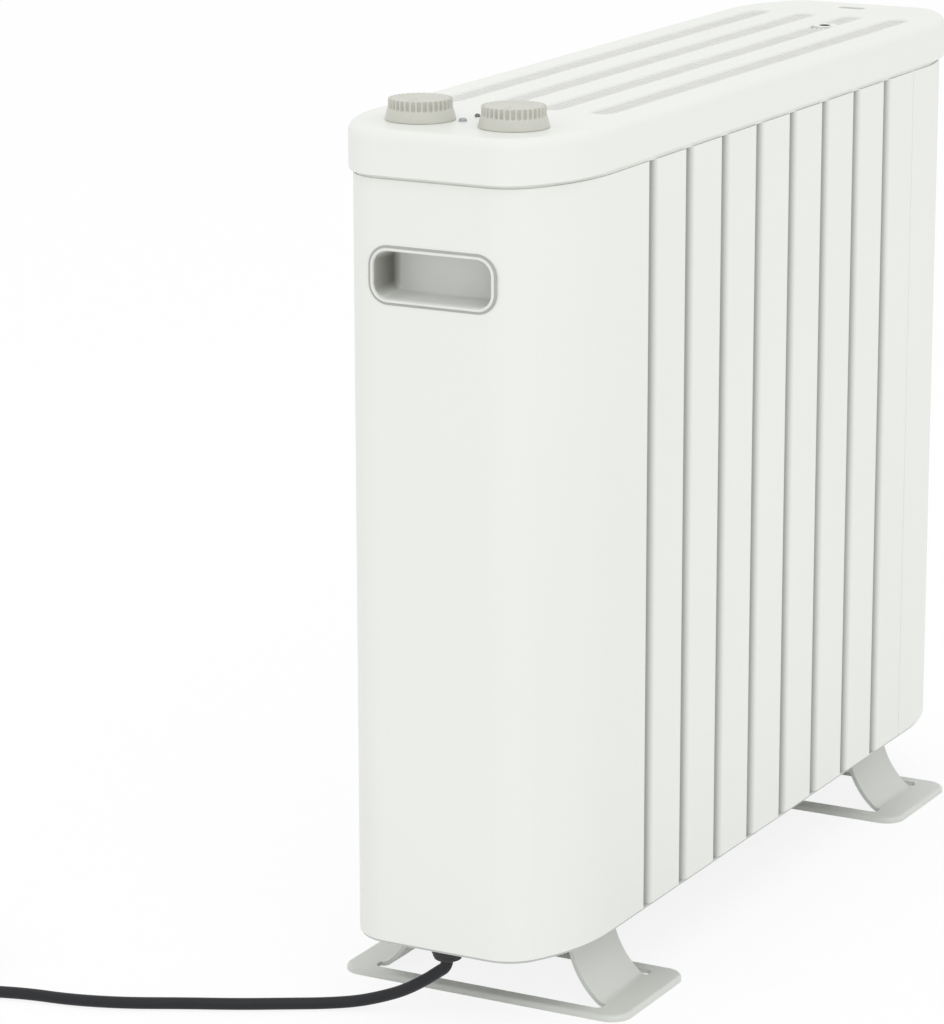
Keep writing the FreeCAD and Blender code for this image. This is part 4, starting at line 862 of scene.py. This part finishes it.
def make_cover_screws():
    """One screw at each end of the node's box: in the slot's boss, and a little higher in the rear recess."""
    low, high = box_of("cover_screws")
    seat = high.z - COVER_SCREW_RISE
    places = [
        Vector((low.x + COVER_SCREW_HEAD, low.y + COVER_SCREW_HEAD, seat - COVER_SEAT_STEP)),
        Vector((high.x - COVER_SCREW_HEAD, high.y - COVER_SCREW_HEAD, seat)),
    ]
    make_screws("cover_screws", places, UPRIGHT, COVER_SCREW_HEAD, COVER_SCREW_RISE, COVER_SCREW_SHANK,
                seat - COVER_SEAT_STEP - low.z)


def make_seat_shade_bush():
    """A black bush that lines the screw's seat in the slot and paints the shade in its hole."""
    low, high = box_of("cover_screws")
    seat = high.z - COVER_SCREW_RISE - COVER_SEAT_STEP
    place = Vector((low.x + COVER_SCREW_HEAD, low.y + COVER_SCREW_HEAD, seat))
    section = [(BUSH_INNER, 0), (BUSH_OUTER, 0), (BUSH_OUTER, BUSH_RISE), (BUSH_INNER, BUSH_RISE)]
    bush = turned(section, place, joined=True)
    # Painted shade: the black lining stands for the shade in the screw's hole
    make_piece("screw_seat_shade_bush", [bush], black_plastic, "heater")


def make_foot_screws():
    """Four screws to a foot, up through its tabs into the tray."""
    low, high = box_of("foot_screws")
    seat = low.z + FOOT_SCREW_DROP
    side = high.y - FOOT_SCREW_HEAD
    far = high.x - FOOT_SCREW_HEAD
    places = [Vector((end * (far - near), flank * side, seat))
              for end in (-1, 1) for near in (0, FOOT_SCREW_SPACING) for flank in (-1, 1)]
    make_screws("foot_screws", places, FROM_BELOW, FOOT_SCREW_HEAD, FOOT_SCREW_DROP, FOOT_SCREW_SHANK,
                high.z - seat)


make_grille()
make_cover_screws()
make_seat_shade_bush()
make_foot_screws()

# Cord gland: a ribbed collar under the tray, its neck, and the recess that the cord starts in
GLAND_PROFILE = [
    (3.6, 3.0), (3.6, 0.3), (3.9, 0.0), (7.0, 0.0), (7.5, 0.4), (7.75, 1.4), (8.1, 1.6), (8.4, 3.2),
    (8.75, 3.4), (9.0, 4.8), (9.35, 5.0), (9.7, 6.4), (9.95, 6.8), (9.95, 7.4), (9.8, 7.5), (6.0, 7.5),
    (6.0, 17.1), (5.6, 17.5),
]


def make_gland():
    low, high = box_of("cord_gland")
    place = Vector(((low.x + high.x) / 2, (low.y + high.y) / 2, low.z))
    collar = turned(GLAND_PROFILE, place)
    piece = make_piece("cord_gland_moulded", [collar], black_plastic, "heater")
    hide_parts("cord_gland")


make_gland()

# Plug: a grooved strain relief, a moulded body hollowed at the sides for the fingers, and two rounded pins
RELIEF_LENGTH = 24
RELIEF_THIN = 4.3
RELIEF_THICK = 6.0
RELIEF_EDGE = 0.6
RELIEF_GROOVES = 5
GROOVE_DEPTH = 0.9
GROOVE_WIDTH = 1.6
GROOVE_FLOOR = 0.6
BODY_LENGTH = 38
GRIP_DEPTH = 3.2
GRIP_START = 8
GRIP_STOP = 30
# Powers that round the grip's ends along the body and keep it to the body's sides
GRIP_ROUND = 1.5
GRIP_NARROW = 4
PIN_SIDE = 9.5
PIN_RADIUS = 2.4
PIN_LENGTH = 19
PIN_ROOT = 1
# Radius as a share of the pin's, and distance before the pin's end
PIN_TIP = [(1, 1.6), (0.9, 0.8), (0.65, 0.25), (0.3, 0)]
# Distance along the body and radius, from the relief to the face that holds the pins
BODY_PROFILE = [
    (0.0, 7.0), (0.3, 10.5), (1.2, 12.2), (2.8, 13.2), (6.0, 13.9), (8.0, 14.1), (11.0, 14.5), (14.0, 14.9),
    (17.0, 15.3), (19.0, 15.6), (21.0, 15.9), (24.0, 16.3), (27.0, 16.8), (30.0, 17.2), (33.0, 17.7),
    (36.0, 18.1), (37.2, 18.1), (37.8, 17.7), (38.0, 17.0),
]


def relief_profile():
    """Radii and distances along the strain relief: a taper with grooves cut round it."""
    profile = [(RELIEF_THIN - RELIEF_EDGE, 0), (RELIEF_THIN, RELIEF_EDGE)]
    pitch = RELIEF_LENGTH / (RELIEF_GROOVES + 1)
    for number in range(1, RELIEF_GROOVES + 1):
        middle = number * pitch
        radius = RELIEF_THIN + (RELIEF_THICK - RELIEF_THIN) * middle / RELIEF_LENGTH
        half = GROOVE_WIDTH / 2
        floor = half * GROOVE_FLOOR
        profile += [(radius, middle - half), (radius - GROOVE_DEPTH, middle - floor),
                    (radius - GROOVE_DEPTH, middle + floor), (radius, middle + half)]
    return profile + [(RELIEF_THICK, RELIEF_LENGTH)]


def make_plug():
    """The plug's body and pins, along the line of the cord's end."""
    across = Vector((-PLUG_HEADING.y, PLUG_HEADING.x, 0))
    turn = Matrix((across, Vector((0, 0, 1)), PLUG_HEADING)).transposed()
    entry = PLUG_ENTRY / MILLIMETRE
    rings = []
    for radius, run in relief_profile():
        rings.append((run, [radius] * TURN_POINTS))
    for run, radius in BODY_PROFILE:
        grip = min(max((run - GRIP_START) / (GRIP_STOP - GRIP_START), 0), 1)
        hollow = GRIP_DEPTH * math.sin(math.pi * grip) ** GRIP_ROUND
        reach = []
        for number in range(TURN_POINTS):
            sideways = abs(math.cos(2 * math.pi * number / TURN_POINTS))
            reach.append(radius - hollow * sideways ** GRIP_NARROW)
        rings.append((RELIEF_LENGTH + run, reach))
    loops = []
    for run, reach in rings:
        loop = []
        for number, radius in enumerate(reach):
            angle = 2 * math.pi * number / TURN_POINTS
            loop.append(entry + turn @ Vector((radius * math.cos(angle), radius * math.sin(angle), run)))
        loops.append(loop)
    body = make_piece("plug_moulding", [skin(loops)], plug_plastic, "heater",
                      sharp=PLUG_SHARP)
    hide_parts("plug_body")
    face = RELIEF_LENGTH + BODY_LENGTH
    pin = [(PIN_RADIUS, -PIN_ROOT)]
    pin += [(PIN_RADIUS * share, PIN_LENGTH - before) for share, before in PIN_TIP]
    shapes = []
    for flank in (-1, 1):
        shapes.append(turned(pin, entry + turn @ Vector((flank * PIN_SIDE, 0, face)), turn))
    pins = make_piece("plug_round_pins", shapes, nickel_plate, "heater")
    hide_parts("plug_pins")
    return body, pins


plug_moulding, plug_round_pins = make_plug()

# Folded sheet and moulded edges of the solids that stay, slightly rounded
EDGE_ROUND = {"foot_front": 0.5, "foot_rear": 0.5, "cord_tie": 0.3}
EDGE_SEGMENTS = 2
EDGE_ANGLE = 35
WELD_DISTANCE = 1e-6


def soften(node, radius):
    """Join a solid's faces at their seams, and round its sharp edges by a radius in millimetres."""
    item = nodes[node]
    weld = item.modifiers.new("weld", "WELD")
    weld.merge_threshold = WELD_DISTANCE
    edge = item.modifiers.new("edge", "BEVEL")
    edge.width = radius * MILLIMETRE
    edge.segments = EDGE_SEGMENTS
    edge.limit_method = "ANGLE"
    edge.angle_limit = math.radians(EDGE_ANGLE)


for softened, edge_radius in EDGE_ROUND.items():
    soften(softened, edge_radius)

# Stage: a white floor that keeps the shadow, a white surround and soft lamps
FLOOR_SIZE = 30
FLOOR_GLOW = 0.85
FLOOR_ROUGHNESS = 0.9
SEEN_WHITE = (1, 1, 1, 1)
SURROUND_LIGHT = 0.93
KEY_PLACE = Vector((-1.9, -1.5, 2.6))
KEY_SIZE = 1.8
KEY_POWER = 11
TOP_PLACE = Vector((-0.2, 0.1, 2.6))
TOP_SIZE = 1.6
TOP_POWER = 2.2
AIM = Vector((-0.05, 0, 0.25))


def seen_or_mirrored(tree):
    """A socket that is 1 for rays from the camera, a mirror or glass, and otherwise 0."""
    path = tree.nodes.new("ShaderNodeLightPath")
    total = path.outputs["Is Camera Ray"]
    for ray in ("Is Glossy Ray", "Is Transmission Ray"):
        add = tree.nodes.new("ShaderNodeMath")
        add.operation = "ADD"
        add.use_clamp = True
        tree.links.new(total, add.inputs[0])
        tree.links.new(path.outputs[ray], add.inputs[1])
        total = add.outputs[0]
    return total


def make_floor():
    """A white floor that glows where it is seen, and keeps a share of the object's shadow."""
    data = bpy.data.meshes.new("floor")
    half = FLOOR_SIZE / 2
    corners = [(-half, -half, 0), (half, -half, 0), (half, half, 0), (-half, half, 0)]
    data.from_pydata(corners, [], [(0, 1, 2, 3)])
    floor = bpy.data.objects.new("floor", data)
    scene.collection.objects.link(floor)
    finish = Finish("floor_white")
    finish.set(Base_Color=SEEN_WHITE, Roughness=FLOOR_ROUGHNESS, Specular_IOR_Level=0.0)
    glow = finish.node("ShaderNodeEmission", {}, {"Color": SEEN_WHITE, "Strength": 1.0})
    share = Value(finish, seen_or_mirrored(finish.tree)) * FLOOR_GLOW
    shadowed = Value(finish, finish.surface.outputs[0])
    blend = finish.node("ShaderNodeMixShader", {}, {0: share, 1: shadowed, 2: glow})
    finish.feed(finish.tree.nodes["Material Output"].inputs["Surface"], blend)
    data.materials.append(finish.material)


def make_surround():
    """White where it is seen or mirrored, and a little dimmer as a light."""
    world = bpy.data.worlds.new("surround")
    world.use_nodes = True
    scene.world = world
    tree = world.node_tree
    background = tree.nodes["Background"]
    background.inputs["Color"].default_value = SEEN_WHITE
    level = tree.nodes.new("ShaderNodeMapRange")
    level.inputs["To Min"].default_value = SURROUND_LIGHT
    level.inputs["To Max"].default_value = 1.0
    tree.links.new(seen_or_mirrored(tree), level.inputs["Value"])
    tree.links.new(level.outputs["Result"], background.inputs["Strength"])


def make_lamp(name, place, size, power):
    """A square softbox that is turned to the middle of the object."""
    data = bpy.data.lights.new(name, "AREA")
    data.shape = "SQUARE"
    data.size = size
    data.energy = power
    lamp = bpy.data.objects.new(name, data)
    scene.collection.objects.link(lamp)
    turn = (place - AIM).to_track_quat("Z", "Y").to_matrix().to_4x4()
    lamp.matrix_world = Matrix.Translation(place) @ turn


make_floor()
make_surround()
make_lamp("key_softbox", KEY_PLACE, KEY_SIZE, KEY_POWER)
make_lamp("top_softbox", TOP_PLACE, TOP_SIZE, TOP_POWER)

scene.view_settings.view_transform = "Standard"
